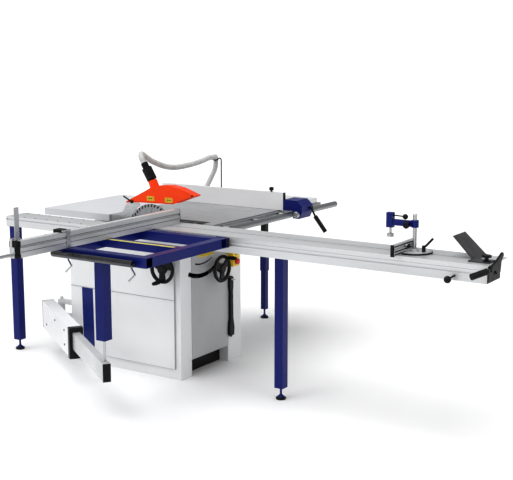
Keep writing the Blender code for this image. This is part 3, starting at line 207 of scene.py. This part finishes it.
def metals():
    """Bare metals, most of them with marks along the way they were ground or drawn."""
    return {
        "iron": Paint("ground_iron", (0.50, 0.505, 0.515), 0.36, 0.6)
        .vary(5, (0.43, 0.435, 0.445), (1, 6, 1)).rough(14, 0.26, 0.42, (1, 8, 1))
        .grain(60, 0.00004, (1, 40, 1)),
        "dark_iron": Paint("dark_iron", (0.010, 0.010, 0.011), 0.42, 0.1)
        .vary(12, (0.020, 0.020, 0.023)).rough(20, 0.32, 0.55).grain(260, 0.0003),
        "steel": Paint("brushed_steel", (0.55, 0.56, 0.57), 0.3, 1.0)
        .vary(9, (0.47, 0.48, 0.49)).rough(30, 0.22, 0.38, (1, 1, 9))
        .grain(80, 0.00003, (1, 1, 30)),
        "chrome": Paint("dark_chrome", (0.13, 0.13, 0.14), 0.14, 1.0)
        .vary(14, (0.09, 0.09, 0.10)).rough(30, 0.08, 0.18),
        "alu": Paint("satin_aluminium", (0.70, 0.71, 0.72), 0.34, 0.5)
        .vary(7, (0.60, 0.61, 0.62), (0.1, 1, 1)).rough(26, 0.3, 0.44, (0.05, 1, 1))
        .grain(120, 0.00003, (0.04, 1, 1)),
        "alu_y": Paint("fence_aluminium", (0.64, 0.65, 0.66), 0.34, 0.55)
        .vary(7, (0.60, 0.61, 0.62), (1, 0.1, 1)).rough(26, 0.3, 0.44, (1, 0.05, 1))
        .grain(120, 0.00003, (1, 0.04, 1)),
        "blade": Paint("blade_steel", (0.36, 0.37, 0.38), 0.34, 0.85)
        .vary(9, (0.30, 0.31, 0.32)).rough(30, 0.26, 0.42).grain(80, 0.00003, (30, 1, 1)),
        "rail": Paint("rail_steel", (0.30, 0.31, 0.32), 0.3, 0.9)
        .vary(9, (0.25, 0.26, 0.27), (1, 0.1, 1)).rough(30, 0.24, 0.38, (1, 0.1, 1)),
    }


def plastics():
    """Moulded parts, the hose and the printed labels."""
    return {
        "orange": Paint("orange_shell", (0.93, 0.066, 0.001), 0.36)
        .vary(9, (0.86, 0.056, 0.001)).rough(24, 0.24, 0.38).grain(1100, 0.00005),
        "dark_edge": Paint("guard_dark_edge", (0.22, 0.012, 0.002), 0.5)
        .vary(9, (0.18, 0.01, 0.002)).rough(24, 0.4, 0.6),
        "black": Paint("black_moulding", (0.004, 0.004, 0.0045), 0.42)
        .vary(18, (0.008, 0.008, 0.009)).rough(40, 0.34, 0.5).grain(1300, 0.00006),
        "yellow": Paint("yellow_shell", (0.80, 0.58, 0.05), 0.35)
        .vary(20, (0.72, 0.50, 0.04)).grain(900, 0.00008),
        "red": Paint("red_cap", (0.60, 0.012, 0.010), 0.25, coat=0.3)
        .vary(30, (0.50, 0.01, 0.01)).rough(40, 0.2, 0.32),
        "green": Paint("green_cap", (0.01, 0.26, 0.05), 0.3, coat=0.2)
        .vary(30, (0.01, 0.2, 0.04)).rough(40, 0.24, 0.36),
        "hose": Paint("grey_hose", (0.62, 0.62, 0.61), 0.5)
        .vary(25, (0.52, 0.52, 0.51)).rough(40, 0.42, 0.6),
        "blue": Paint("blue_strip", (0.006, 0.016, 0.15), 0.4)
        .vary(12, (0.007, 0.020, 0.17)).rough(30, 0.34, 0.46),
        "label": Paint("yellow_label", (0.84, 0.62, 0.04), 0.4)
        .vary(40, (0.78, 0.56, 0.04)).rough(60, 0.34, 0.46),
        "tape": Paint("scale_tape", (0.78, 0.72, 0.20), 0.4)
        .vary(40, (0.72, 0.66, 0.18)).rough(60, 0.34, 0.46),
        "pale": Paint("pale_label", (0.80, 0.80, 0.78), 0.45)
        .vary(40, (0.74, 0.74, 0.72)).rough(60, 0.38, 0.5),
    }


NODE_LOOK = {
    "white": "rear_table right_table",
    "cab": "cabinet swing_arm_outer swing_arm_bracket rip_fence_board",
    "panel": "front_panel",
    "iron": "main_table",
    "steel": "scoring_blade motor_pulley riving_knife rear_clamp_crank front_clamp_crank "
    "end_stop_finger stop_finger clamp_foot extension_bar",
    "rail": "rip_rail",
    # painted shade: the far leg takes the darker copy of the navy
    "shaded_navy": "leg_side",
    "blade": "saw_blade",
    "dark_iron": "table_insert trunnion saddle mitre_base hose_hook",
    "slate": "edging_shoe",
    "navy": "leg_rear leg_front outrigger_frame clamp_arm rip_fence_carriage",
    "alu": "beam carriage swing_arm_inner",
    "alu_y": "crosscut_fence mitre_fence",
    "motor": "motor",
    "orange": "guard",
    "chrome": "outrigger_roller",
    "yellow": "switch_box",
    "red": "stop_button",
    "green": "start_button",
    "hose": "hose_near hose_far",
    "black": "drive_belt hose_cuff guard_lever lift_handwheel lift_crank_grip tilt_handwheel "
    "tilt_crank_grip extension_lever stop_block mitre_lever clamp_lever shoe_knob push_handle "
    "table_lock_knob rip_fence_lever push_stick",
}


def dress(look):
    """The CAD nodes' paints, with a sharp edge in their shading at real corners only."""
    for name, nodes in NODE_LOOK.items():
        for node in nodes.split():
            for slot in frame["nodes"][node].material_slots:
                slot.material = look[name]
    for obj in frame["nodes"].values():
        if obj.type == "MESH":
            obj.data.set_sharp_from_angle(angle=math.radians(34))


# ---------------------------------------------------------------- meshes
SIX_FACES = (0, 1, 3, 2), (4, 6, 7, 5), (0, 4, 5, 1), (2, 3, 7, 6), (0, 2, 6, 4), (1, 5, 7, 3)


def solid(name, bm, mat):
    """An object made of the mesh so far, its faces turned outwards."""
    bmesh.ops.recalc_face_normals(bm, faces=bm.faces)
    mesh = bpy.data.meshes.new(name)
    bm.to_mesh(mesh)
    bm.free()
    mesh.materials.append(mat)
    obj = bpy.data.objects.new(name, mesh)
    bpy.context.scene.collection.objects.link(obj)
    return obj


def shown(name, bm, mat, body, smooth=False):
    """A new piece on a body. Blender numbers a paint whose name is already taken."""
    obj = solid(name, bm, mat)
    if smooth:
        obj.data.shade_smooth()
    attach(obj, body)
    return obj


def rounded(obj, width):
    made = obj.modifiers.new("edge", "BEVEL")
    made.width, made.segments, made.limit_method = width, 2, "ANGLE"


def six_faces(bm, corners):
    """A closed block on eight corners, in the order of x, then y, then z, each from low to high."""
    verts = [bm.verts.new(c) for c in corners]
    for face in SIX_FACES:
        bm.faces.new([verts[i] for i in face])
    return verts


def box_into(bm, low, high, turn=None, about=None):
    (x0, y0, z0), (x1, y1, z1) = low, high
    verts = six_faces(bm, [(x, y, z) for x in (x0, x1) for y in (y0, y1) for z in (z0, z1)])
    if turn:
        bmesh.ops.rotate(bm, verts=verts, cent=about, matrix=turn)


def tube_faces(bm, rings):
    """A skin over rings of the same number of points, closed at both ends."""
    sides = len(rings[0])
    for low, high in zip(rings, rings[1:]):
        for i in range(sides):
            j = (i + 1) % sides
            bm.faces.new((low[i], low[j], high[j], high[i]))
    bm.faces.new(rings[0])
    bm.faces.new(rings[-1][::-1])


def lathe_into(bm, profile, origin, axis, sides=24):
    """A profile of (radius, height) points turned about an axis."""
    way = Vector(axis).normalized()
    side = way.orthogonal().normalized()
    other = way.cross(side)
    angles = [2 * math.pi * i / sides for i in range(sides)]
    out = [side * math.cos(a) + other * math.sin(a) for a in angles]
    rings = []
    for radius, height in profile:
        middle = Vector(origin) + way * height
        rings.append([bm.verts.new(middle + offset * max(radius, TINY_R)) for offset in out])
    tube_faces(bm, rings)


def lathe(name, profile, origin, axis, mat, body, sides=24):
    bm = bmesh.new()
    lathe_into(bm, profile, origin, axis, sides)
    shown(name, bm, mat, body).data.set_sharp_from_angle(angle=math.radians(38))


def plate(name, low, high, mat, body, edge=0.0008):
    bm = bmesh.new()
    box_into(bm, low, high)
    rounded(shown(name, bm, mat, body), edge)


def limits(node):
    """The lowest and highest corner of a CAD node at rest."""
    return [Vector(corner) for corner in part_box(node)]


# ---------------------------------------------------------------- hose
def bend(start, way_in, way_out, radius, steps):
    """Points along an arc that starts in one direction and ends in another."""
    way_in, way_out = Vector(way_in).normalized(), Vector(way_out).normalized()
    turn = way_in.angle(way_out)
    side = (way_out - way_in * way_out.dot(way_in)).normalized()
    centre = Vector(start) + radius * side
    angles = [turn * i / steps for i in range(steps + 1)]
    return [centre - radius * math.cos(a) * side + radius * math.sin(a) * way_in for a in angles]


def hose_route():
    """The hose from the guard's cuff, over the hook and down to the cabinet's port."""
    start = CUFF + 0.1065 * CUFF_WAY
    route = [start, *bend(start + 0.008 * CUFF_WAY, CUFF_WAY, (-0.224, 0.898, -0.379), 0.056, 5)]
    route += [
        (-0.468, 0.345, 1.168), HOSE_JOINT - SHIFT, (-0.500, 0.490, 1.1235), (-0.524, 0.590, 1.103),
        (-0.546, 0.683, 1.091), (-0.563, 0.758, 1.087), (-0.581, 0.833, 1.085),
        (-0.599, 0.911, 1.0845), (-0.618, 0.990, 1.085), (-0.634, 1.056, 1.087),
        (-0.650, 1.121, 1.090), (-0.673, 1.222, 1.098),
    ]
    route += bend((-0.700, 1.328, 1.0955), (-0.40, 0.915, -0.03), (0.02, -0.20, -0.98), 0.045, 7)
    route += [
        (-0.731, 1.370, 1.005), (-0.741, 1.352, 0.965), (-0.749, 1.322, 0.918),
        (-0.755, 1.270, 0.858), (-0.765, 1.185, 0.780), (-0.779, 1.080, 0.700),
        (-0.800, 0.955, 0.608), (-0.828, 0.825, 0.512), (-0.862, 0.700, 0.420),
        (-0.902, 0.585, 0.337), (-0.938, 0.490, 0.270), (-0.961, 0.420, 0.225),
    ]
    route += bend((-0.970, 0.368, 0.204), (-0.02, -1.0, -0.06), (1, 0, 0), 0.068, 5)
    port = (-0.8853, 0.300, 0.200)
    route[-1].y, route[-1].z = port[1:]
    return [Vector(p) + SHIFT for p in (*route, port)]


def smooth_line(points, step):
    """Points along a Catmull-Rom curve through the given ones, about a step apart."""
    ends = [2 * points[0] - points[1], *points, 2 * points[-1] - points[-2]]
    dense = []
    for a, b, c, d in zip(ends, ends[1:], ends[2:], ends[3:]):
        n = max(2, round((c - b).length / FINE_STEP))
        for i in range(n):
            t = i / n
            square, cube = 2 * a - 5 * b + 4 * c - d, 3 * b - a - 3 * c + d
            dense.append(0.5 * (2 * b + (c - a) * t + square * t * t + cube * t**3))
    dense.append(points[-1])
    far = [0.0]
    for a, b in zip(dense, dense[1:]):
        far.append(far[-1] + (b - a).length)
    count, out, k = max(4, round(far[-1] / step)), [], 0
    for i in range(count + 1):
        want = far[-1] * i / count
        while k < len(far) - 2 and far[k + 1] < want:
            k += 1
        share = (want - far[k]) / max(1e-9, far[k + 1] - far[k])
        out.append(dense[k].lerp(dense[k + 1], min(1, max(0, share))))
    return out


def ribbed_tube(name, line, mat):
    """A corrugated hose along the line, three rings to a rib."""
    bm = bmesh.new()
    angles = [2 * math.pi * k / HOSE_SIDES for k in range(HOSE_SIDES)]
    rings, side = [], None
    for i, point in enumerate(line):
        way = (line[min(i + 1, len(line) - 1)] - line[max(i - 1, 0)]).normalized()
        side = way.orthogonal() if side is None else side - way * side.dot(way)
        side.normalize()
        other = way.cross(side)
        radius = HOSE_R - RIB_DEPTHS[i % len(RIB_DEPTHS)]
        out = [math.cos(a) * side + math.sin(a) * other for a in angles]
        rings.append([bm.verts.new(point + radius * offset) for offset in out])
    tube_faces(bm, rings)
    obj = solid(name, bm, mat)
    obj.data.set_sharp_from_angle(angle=math.radians(60))
    return obj


def hose(look):
    """One hose in two runs: the first from the guard's cuff, and the second hangs from the hook."""
    line = smooth_line(hose_route(), RIB_PITCH / len(RIB_DEPTHS))
    rib_starts = range(0, len(line), len(RIB_DEPTHS))
    split = min(rib_starts, key=lambda i: (line[i] - HOSE_JOINT).length)
    first, second = line[: split + 1], line[split:]
    upper = ribbed_tube("hose_upper", first, look["hose"])
    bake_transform(upper)
    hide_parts("hose_near")
    lower = ribbed_tube("hose_lower", second, look["hose"])
    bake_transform(lower)
    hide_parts("hose_far")


# ---------------------------------------------------------------- details on the CAD pieces
def frame_details(look):
    """End caps and a scale on the outrigger's frame, and the sleeve on its support rod."""
    for k, x in enumerate((-0.205, 0.325)):
        low, high = at(x + 0.001, -0.0936, 0.7972), at(x + 0.049, -0.0680, 0.8463)
        plate(f"frame_end_cap_{k + 1}", low, high, look["black"], "sliding_table", 0.0015)
    tape_low, tape_high = at(-0.105, -0.4615, 0.8490), at(0.309, -0.4375, 0.8494)
    plate("frame_scale", tape_low, tape_high, look["tape"], "sliding_table", 0.0001)
    marks, pitch, wide = bmesh.new(), 0.0098, 0.0012
    for i in range(42):
        start = at(-0.100 + pitch * i, -0.4605, 0.8494)
        box_into(marks, start, start + Vector((wide, 0.011 if i % 5 else 0.018, 0.0002)))
    shown("frame_scale_marks", marks, look["black"], "sliding_table")
    sleeve = [(0.0064, 0), (0.0068, 0.0006), (0.0068, 0.1140), (0.0120, 0.1144), (0.0120, 0.1178)]
    foot = at(0.066, -0.706, 0.2972)
    lathe("support_rod", sleeve, foot, (0, 0, 1), look["steel"], "sliding_table", 20)


def fence_scale(look):
    low, high = limits("crosscut_fence")
    thick, pitch, wide = 0.0003, 0.010, 0.0009
    tape, start = bmesh.new(), (low.x + 0.010, low.y + 0.02, high.z)
    box_into(tape, start, (low.x + 0.024, high.y - 0.03, high.z + thick))
    shown("fence_scale", tape, look["pale"], "crosscut_fence")
    marks = bmesh.new()
    for i in range(int((high.y - low.y - 0.06) / pitch)):
        start = Vector((low.x + 0.011, low.y + 0.03 + pitch * i, high.z + thick))
        box_into(marks, start, start + Vector((0.006 if i % 5 else 0.011, wide, 0.0002)))
    shown("fence_scale_marks", marks, look["black"], "crosscut_fence")


def beam_details(look):
    """Screws let into the beam's top, where the carriage slides over them, and its end caps."""
    low, high = limits("beam")
    first, last = low.x + 0.04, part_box("carriage")[0][0] - 0.04
    screw = [(0.0055, 0.0), (0.0055, 0.0004), (0.0048, 0.0007)]
    screws, gaps, inset = bmesh.new(), 8, 0.018
    for i in range(gaps + 1):
        for y in (low.y + inset, high.y - inset):
            lathe_into(screws, screw, (first + (last - first) * i / gaps, y, high.z), (0, 0, 1), 12)
    shown("beam_screws", screws, look["dark_iron"], "machine", True)
    thick = 0.005
    for name, x0, x1 in (("rear", low.x - thick, low.x), ("front", high.x, high.x + thick)):
        corner = (x0, low.y + 0.002, low.z + 0.002), (x1, high.y - 0.002, high.z - 0.0015)
        plate(f"beam_cap_{name}", *corner, look["black"], "machine", 0.002)


def cabinet_details(look):
    """Tilt scale on the front panel, coloured strip, painted shadow lines at the cover's creases,
    and a painted shadow in the kick recess.
    """
    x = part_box("front_panel")[1][0]
    low, high = at(0, 0.170, 0.664), at(0, 0.310, 0.694)
    scale = bmesh.new()
    box_into(scale, (x - 0.0002, low.y, low.z), (x + 0.0004, high.y, high.z))
    shown("tilt_scale", scale, look["label"], "machine")
    marks, gaps, inset, wide = bmesh.new(), 18, 0.010, 0.0014
    for i in range(gaps + 1):
        y = low.y + inset + (high.y - low.y - 2 * inset) * i / gaps
        top = low.z + (0.014 if i % 3 else 0.024)
        box_into(marks, (x + 0.0004, y, low.z + 0.004), (x + 0.0006, y + wide, top))
    shown("tilt_scale_marks", marks, look["black"], "machine")
    strip, half = bmesh.new(), 0.0006
    (x0, z0, y0), (x1, z1, y1) = STRIP
    ends = (y0, z0), (y1, z1)  # it leans with the cover, so each end has its own depth
    six_faces(strip, [at(x, y + d, z) for x in (x0, x1) for y, z in ends for d in (-half, half)])
    shown("side_strip", strip, look["blue"], "machine")
    # Grey lines painted as the shadow at the cover's creases and along its lower edge.
    crease = bmesh.new()
    box_into(crease, at(-0.790, -0.0124, 0.4485), at(-0.035, -0.0108, 0.4510))
    box_into(crease, at(-0.0350, -0.0112, 0.060), at(-0.0338, -0.0004, 0.749))
    box_into(crease, at(-0.790, -0.0066, 0.0572), at(-0.035, -0.0004, 0.0584))
    shown("cover_crease_shadow", crease, look["shade"], "machine")
    # Black plates painted as the shadow in the toe space under the cabinet's front.
    recess = bmesh.new()
    box_into(recess, at(-0.0600, 0.104, 0.001), at(-0.0594, 0.4535, 0.0940))
    box_into(recess, at(-0.0590, 0.104, 0.0935), at(-0.0010, 0.4535, 0.0945))
    shown("kick_recess_shadow", recess, look["black"], "machine")


def guard_details(look):
    """Two labels with plain marks for their text, a dark line along the shell's bottom edge, and a
    bolt.
    """
    low, _ = limits("guard")
    wide, tall = 0.052, 0.026
    frame_marks = [(0.004, 0.0035, 0.048, 0.0050), (0.004, 0.021, 0.048, 0.0225)]
    frame_marks += [(0.004, 0.0035, 0.0055, 0.0225), (0.0465, 0.0035, 0.048, 0.0225)]
    text_marks = [(0.012, 0.010, 0.024, 0.016), (0.028, 0.010, 0.040, 0.016)]
    for k, x in enumerate((low.x + 0.155, low.x + 0.285)):
        z = low.z + 0.024
        corners = (x, low.y - 0.0004, z), (x + wide, low.y + 0.0006, z + tall)
        plate(f"guard_label_{k + 1}", *corners, look["label"], "saddle_unit", 0.0002)
        lines = bmesh.new()
        for x0, z0, x1, z1 in frame_marks + text_marks:
            box_into(lines, (x + x0, low.y - 0.0007, z + z0), (x + x1, low.y - 0.0003, z + z1))
        shown(f"guard_label_lines_{k + 1}", lines, look["dark_iron"], "saddle_unit")
    # A thin dark line along the lower edge of the shell's near face.
    edge = [(-0.500, 0.9392), (-0.420, 0.9472), (-0.320, 0.9492), (-0.170, 0.9542)]
    edge.append((-0.042, 0.9998))
    sides, height = (BLADE_Y - 0.0303, BLADE_Y - 0.0296), 0.0013
    dark_edge = bmesh.new()
    for ends in zip(edge, edge[1:]):
        six_faces(dark_edge, [at(x, y, z + up) for x, z in ends for y in sides for up in (0, height)])
    shown("guard_dark_edge", dark_edge, look["dark_edge"], "saddle_unit")
    bolt = [(0.0052, 0), (0.0052, 0.002), (0.003, 0.0035)]
    spot = at(-0.037, BLADE_Y - 0.030, 1.0068)
    lathe("guard_bolt", bolt, spot, (0, -1, 0), look["black"], "saddle_unit", 12)


def cuff_ribs(look):
    rib = [(0.0190, 0), (0.0206, 0.0012), (0.0206, 0.0026), (0.0190, 0.0038)]
    way, pitch = CUFF_WAY.normalized(), 0.0056
    bm = bmesh.new()
    for i in range(9):
        lathe_into(bm, rib, CUFF + SHIFT + way * (CUFF_NECK + pitch * i), way, 24)
    shown("cuff_ribs", bm, look["black"], "saddle_unit", True)


def arm_point(distance, side, height):
    """A place on the swing arm: distance from its hinge, offset from its middle, and height."""
    turn = Matrix.Rotation(ARM_ANGLE, 3, "Z")
    return turn @ Vector((distance, side + ARM_OFFSET, 0)) + at(*ARM_HINGE, height)


def arm_box(bm, along, across, heights):
    six_faces(bm, [arm_point(x, y, z) for x in along for y in across for z in heights])


def arm_details(look):
    """Black clamp ring and caps, the inner profile's ribs, and bolts on the outer arm."""
    outer, wall, mouth, low, high = 0.0385, 0.0353, 0.0215, 0.1425, 0.3155
    mouth_low, mouth_high = 0.1945, 0.2920
    ring = bmesh.new()
    sleeve = (0.704, 0.742)
    arm_box(ring, sleeve, (-outer, -wall), (low, high))
    arm_box(ring, sleeve, (wall, outer), (low, high))
    arm_box(ring, sleeve, (-outer, outer), (low, 0.1457))
    arm_box(ring, sleeve, (-outer, outer), (0.3123, high))
    plug, plug_side, plug_low, plug_high = (0.730, 0.7425), 0.0318, 0.1492, 0.3088
    arm_box(ring, plug, (-plug_side, -mouth), (plug_low, plug_high))
    arm_box(ring, plug, (mouth, plug_side), (plug_low, plug_high))
    arm_box(ring, plug, (-mouth, mouth), (mouth_high, plug_high))
    arm_box(ring, plug, (-mouth, mouth), (plug_low, mouth_low))
    face = (0.7423, 0.7440)
    arm_box(ring, face, (-outer, -mouth), (low, high))
    arm_box(ring, face, (mouth, outer), (low, high))
    arm_box(ring, face, (-mouth, mouth), (mouth_high, high))
    arm_box(ring, face, (-mouth, mouth), (low, mouth_low))
    rounded(shown("arm_clamp_ring", ring, look["black"], "arm_outer"), 0.0008)
    cap = bmesh.new()
    arm_box(cap, (0.004, 0.0097), (-0.0358, 0.0358), (0.1452, 0.3128))
    rounded(shown("arm_end_cap", cap, look["black"], "arm_outer"), 0.0015)
    tip = bmesh.new()
    arm_box(tip, (1.3863, 1.3905), (-0.0200, 0.0200), (0.197, 0.2890))
    rounded(shown("arm_tip_cap", tip, look["black"], "arm_inner"), 0.0012)
    ribs, half = bmesh.new(), 0.0022
    for z in (0.210, 0.232, 0.254, 0.276):
        arm_box(ribs, (0.560, 1.384), (-0.0212, -0.0199), (z - half, z + half))
    shown("arm_ribs", ribs, look["alu"], "arm_inner")
    bolts, bolt = bmesh.new(), [(0.0062, 0), (0.0062, 0.0016), (0.004, 0.003)]
    way = Matrix.Rotation(ARM_ANGLE, 3, "Z") @ Vector((0, -1, 0))
    for distance, z in ((0.12, 0.190), (0.36, 0.272), (0.60, 0.190), (0.60, 0.272)):
        lathe_into(bolts, bolt, arm_point(distance, -0.0351, z), way, 12)
    shown("arm_bolts", bolts, look["black"], "arm_outer", True)


def rip_details(look):
    """Knob on the rip board's top, its dark end, and the fine adjuster on the casting."""
    knob = [(0.0052, 0.0), (0.0056, 0.008), (0.0135, 0.0115), (0.0137, 0.0265)]
    knob += [(0.011, 0.0295), (0.004, 0.0306)]
    lathe("board_knob", knob, at(0.024, 0.893, 0.9552), (0, 0, 1), look["black"], "rip_board")
    low, high = limits("rip_fence_board")
    corners = (high.x - 0.0006, low.y + 0.0002, low.z), (high.x + 0.0010, high.y - 0.0002, 0.957)
    plate("board_end", *corners, look["dark_iron"], "rip_board", 0.0004)
    knob = [(0.0178, 0.0), (0.0186, 0.002), (0.0186, 0.017), (0.0160, 0.0192), (0.004, 0.0196)]
    spot = at(0.2275, 0.8562, 0.838)
    lathe("fine_adjuster", knob, spot, (0, -1, 0), look["steel"], "rip_fence")


def leg_details(look):
    """Black pads under the feet, and a black plate over the far leg's upper half."""
    pad = [(0.0262, 0.0), (0.0268, 0.002), (0.0268, 0.009), (0.022, 0.013), (0.012, 0.0135)]
    for k, spot in enumerate(FEET):
        lathe(f"foot_pad_{k + 1}", pad, at(*spot, 0.0), (0, 0, 1), look["black"], "machine", 28)
    low, high = limits("leg_side")
    middle, half = 0.5 * (low + high), 0.0188
    bottom, top = 0.56, high.z - 0.0065  # it ends just below the leg's top plate
    start, end = (middle.x - half, middle.y - half, bottom), (middle.x + half, middle.y + half, top)
    plate("far_leg_upper_black", start, end, look["black"], "machine")


def saw_details(look):
    """Dark gullets behind each tooth, and the blade's expansion slots."""
    centre, face_y, teeth, slot_count = at(*ARBOR), 0.00172, 40, 6
    gullets, half = bmesh.new(), Vector((0.0085, 0.0002, 0.0044))
    for i in range(teeth):
        turn = Matrix.Rotation(2 * math.pi * i / teeth, 3, "Y")
        for side in (-face_y, face_y):
            spot = centre + turn @ Vector((0.1480, 0, 0)) + Vector((0, side, 0))
            box_into(gullets, spot - half, spot + half, turn @ Matrix.Rotation(0.5, 3, "Y"), spot)
    shown("blade_gullets", gullets, look["dark_iron"], "blade")
    slots, half = bmesh.new(), Vector((0.018, 0.0002, 0.0010))
    for i in range(slot_count):
        turn = Matrix.Rotation(2 * math.pi * (i + 0.5) / slot_count, 3, "Y")
        spot = centre + turn @ Vector((0.118, 0, 0)) + Vector((0, -face_y, 0))
        box_into(slots, spot - half, spot + half, turn @ Matrix.Rotation(0.35, 3, "Y"), spot)
    shown("blade_slots", slots, look["dark_iron"], "blade")


def mitre_details(look):
    """Bright column and scale, black clamp knob, and the short fence's caps, painted slot shadows
    and bolts.
    """
    column = at(*MITRE_PIVOT, 0.0)
    tube = [(0.00965, 0.872), (0.00985, 0.874), (0.00985, 1.0325), (0.0085, 1.0338)]
    lathe("mitre_column", tube, column, (0, 0, 1), look["steel"], "mitre_gauge", 24)
    ring = [(0.0855, 0.0), (0.0858, 0.00008), (0.0855, 0.00015)]
    lathe("mitre_scale", ring, at(*MITRE_PIVOT, 0.85832), (0, 0, 1), look["alu"], "mitre_gauge", 48)
    marks = bmesh.new()
    for i in range(60):
        turn = Matrix.Rotation(math.radians(6 * i), 3, "Z")
        radius, half_length = (0.080, 0.0045) if i % 5 else (0.077, 0.0075)
        spot = column + Vector((0, 0, 0.85850)) + turn @ Vector((radius, 0, 0))
        half = Vector((half_length, 0.0004, 0.00006))
        box_into(marks, spot - half, spot + half, turn, spot)
    shown("mitre_scale_marks", marks, look["black"], "mitre_gauge")
    knob = [(0.0152, 0.0), (0.0158, 0.002), (0.0158, 0.015), (0.013, 0.0175), (0.004, 0.018)]
    spot, way = at(1.322, 0.0400, 0.984), (0, -1, -0.15)
    lathe("clamp_arm_knob", knob, spot, way, look["black"], "clamp_arm")
    mitre_fence_details(look)


def mitre_fence_details(look):
    low, high = limits("mitre_fence")
    face_x = at(1.327, 0, 0).x
    caps = bmesh.new()
    for y0, y1 in ((low.y - 0.0030, low.y + 0.0002), (high.y - 0.0002, high.y + 0.0030)):
        box_into(caps, (face_x - 0.0185, y0, low.z - 0.0001), (face_x + 0.0005, y1, low.z + 0.0560))
    rounded(shown("mitre_fence_caps", caps, look["black"], "mitre_fence"), 0.0006)
    # Dark strips painted as the shade inside the fence face's slots.
    slots, inset = bmesh.new(), 0.004
    for z0, z1 in ((0.006, 0.012), (0.020, 0.026), (0.044, 0.050)):
        start = (face_x - 0.0002, low.y + inset, low.z + z0)
        box_into(slots, start, (face_x + 0.0004, high.y - inset, low.z + z1))
    shown("mitre_fence_slot_shadows", slots, look["dark_iron"], "mitre_fence")
    bolts, bolt = bmesh.new(), [(0.0092, 0), (0.0096, 0.002), (0.0096, 0.009), (0.007, 0.011)]
    for y in (0.0235, 0.0935):
        lathe_into(bolts, bolt, at(1.336, y, 0.8863), (1, 0, 0), 14)
    shown("mitre_fence_bolts", bolts, look["black"], "mitre_fence", True)


def crosscut_fence_details(look):
    """Dark strips painted as the shade inside the T slots along both faces, the end cap, and the
    clamp of the extension.
    """
    low, high = limits("crosscut_fence")
    # Dark strips painted as the shade inside the T slots.
    slots, inset, tall = bmesh.new(), 0.004, 0.0022
    for x0, x1 in ((low.x - 0.0004, low.x + 0.0002), (high.x - 0.0002, high.x + 0.0004)):
        for z in (low.z + 0.026, low.z + 0.055):
            box_into(slots, (x0, low.y + inset, z), (x1, high.y - inset, z + tall))
    shown("fence_slot_shadows", slots, look["dark_iron"], "crosscut_fence")
    start = (low.x - 0.0005, high.y - 0.0002, low.z)
    end = (high.x + 0.0005, high.y + 0.0035, high.z + 0.0004)
    plate("fence_end_cap", start, end, look["black"], "crosscut_fence", 0.0008)
    clamp, back, front = bmesh.new(), low.y - 0.030, low.y - 0.0004
    for z0, z1, out in ((0.0015, 0.018, 0.004), (0.018, 0.052, 0.0005), (0.052, 0.0805, 0.004)):
        box_into(clamp, (low.x - out, back, low.z + z0), (high.x + out, front, low.z + z1))
    rounded(shown("extension_clamp", clamp, look["black"], "crosscut_fence"), 0.0012)


# ---------------------------------------------------------------- floor, world and view
def floor():
    bm, reach = bmesh.new(), 14
    box_into(bm, (-reach, -reach, -0.05), (reach, reach, -0.0006))
    paint = Paint("floor", (0.95, 0.95, 0.95), 0.7).vary(3, (0.94, 0.94, 0.94))
    solid("floor", bm, paint.mat)


def world():
    """Soft light from all round, and a plain white backdrop that only the camera sees."""
    made = bpy.data.worlds.new("studio")
    made.use_nodes = True
    nodes, links = made.node_tree.nodes, made.node_tree.links
    light, backdrop = nodes["Background"], nodes.new("ShaderNodeBackground")
    for node, strength in ((light, 0.46), (backdrop, 1.0)):
        node.inputs["Color"].default_value = (1, 1, 1, 1)
        node.inputs["Strength"].default_value = strength
    which, mix = nodes.new("ShaderNodeLightPath"), nodes.new("ShaderNodeMixShader")
    links.new(which.outputs["Is Camera Ray"], mix.inputs["Fac"])
    links.new(light.outputs[0], mix.inputs[1])
    links.new(backdrop.outputs[0], mix.inputs[2])
    links.new(mix.outputs[0], nodes["World Output"].inputs["Surface"])
    bpy.context.scene.world = made


def studio():
    floor()
    world()
    soft_sun("overhead", (-0.3, -0.5, 2.2), 1.85, 55)
    soft_sun("side", (-1.0, -2.2, 1.0), 0.58, 30)
    soft_sun("front", (2.4, -0.6, 1.2), 0.40, 30)
    view = bpy.context.scene.view_settings
    view.view_transform, view.exposure, view.gamma = "Standard", 0.12, 0.82


camera()
look = {name: paint.mat for name, paint in (coats() | metals() | plastics()).items()}
dress(look)
hose(look)
frame_details(look)
fence_scale(look)
beam_details(look)
cabinet_details(look)
guard_details(look)
cuff_ribs(look)
arm_details(look)
rip_details(look)
leg_details(look)
saw_details(look)
mitre_details(look)
crosscut_fence_details(look)
studio()
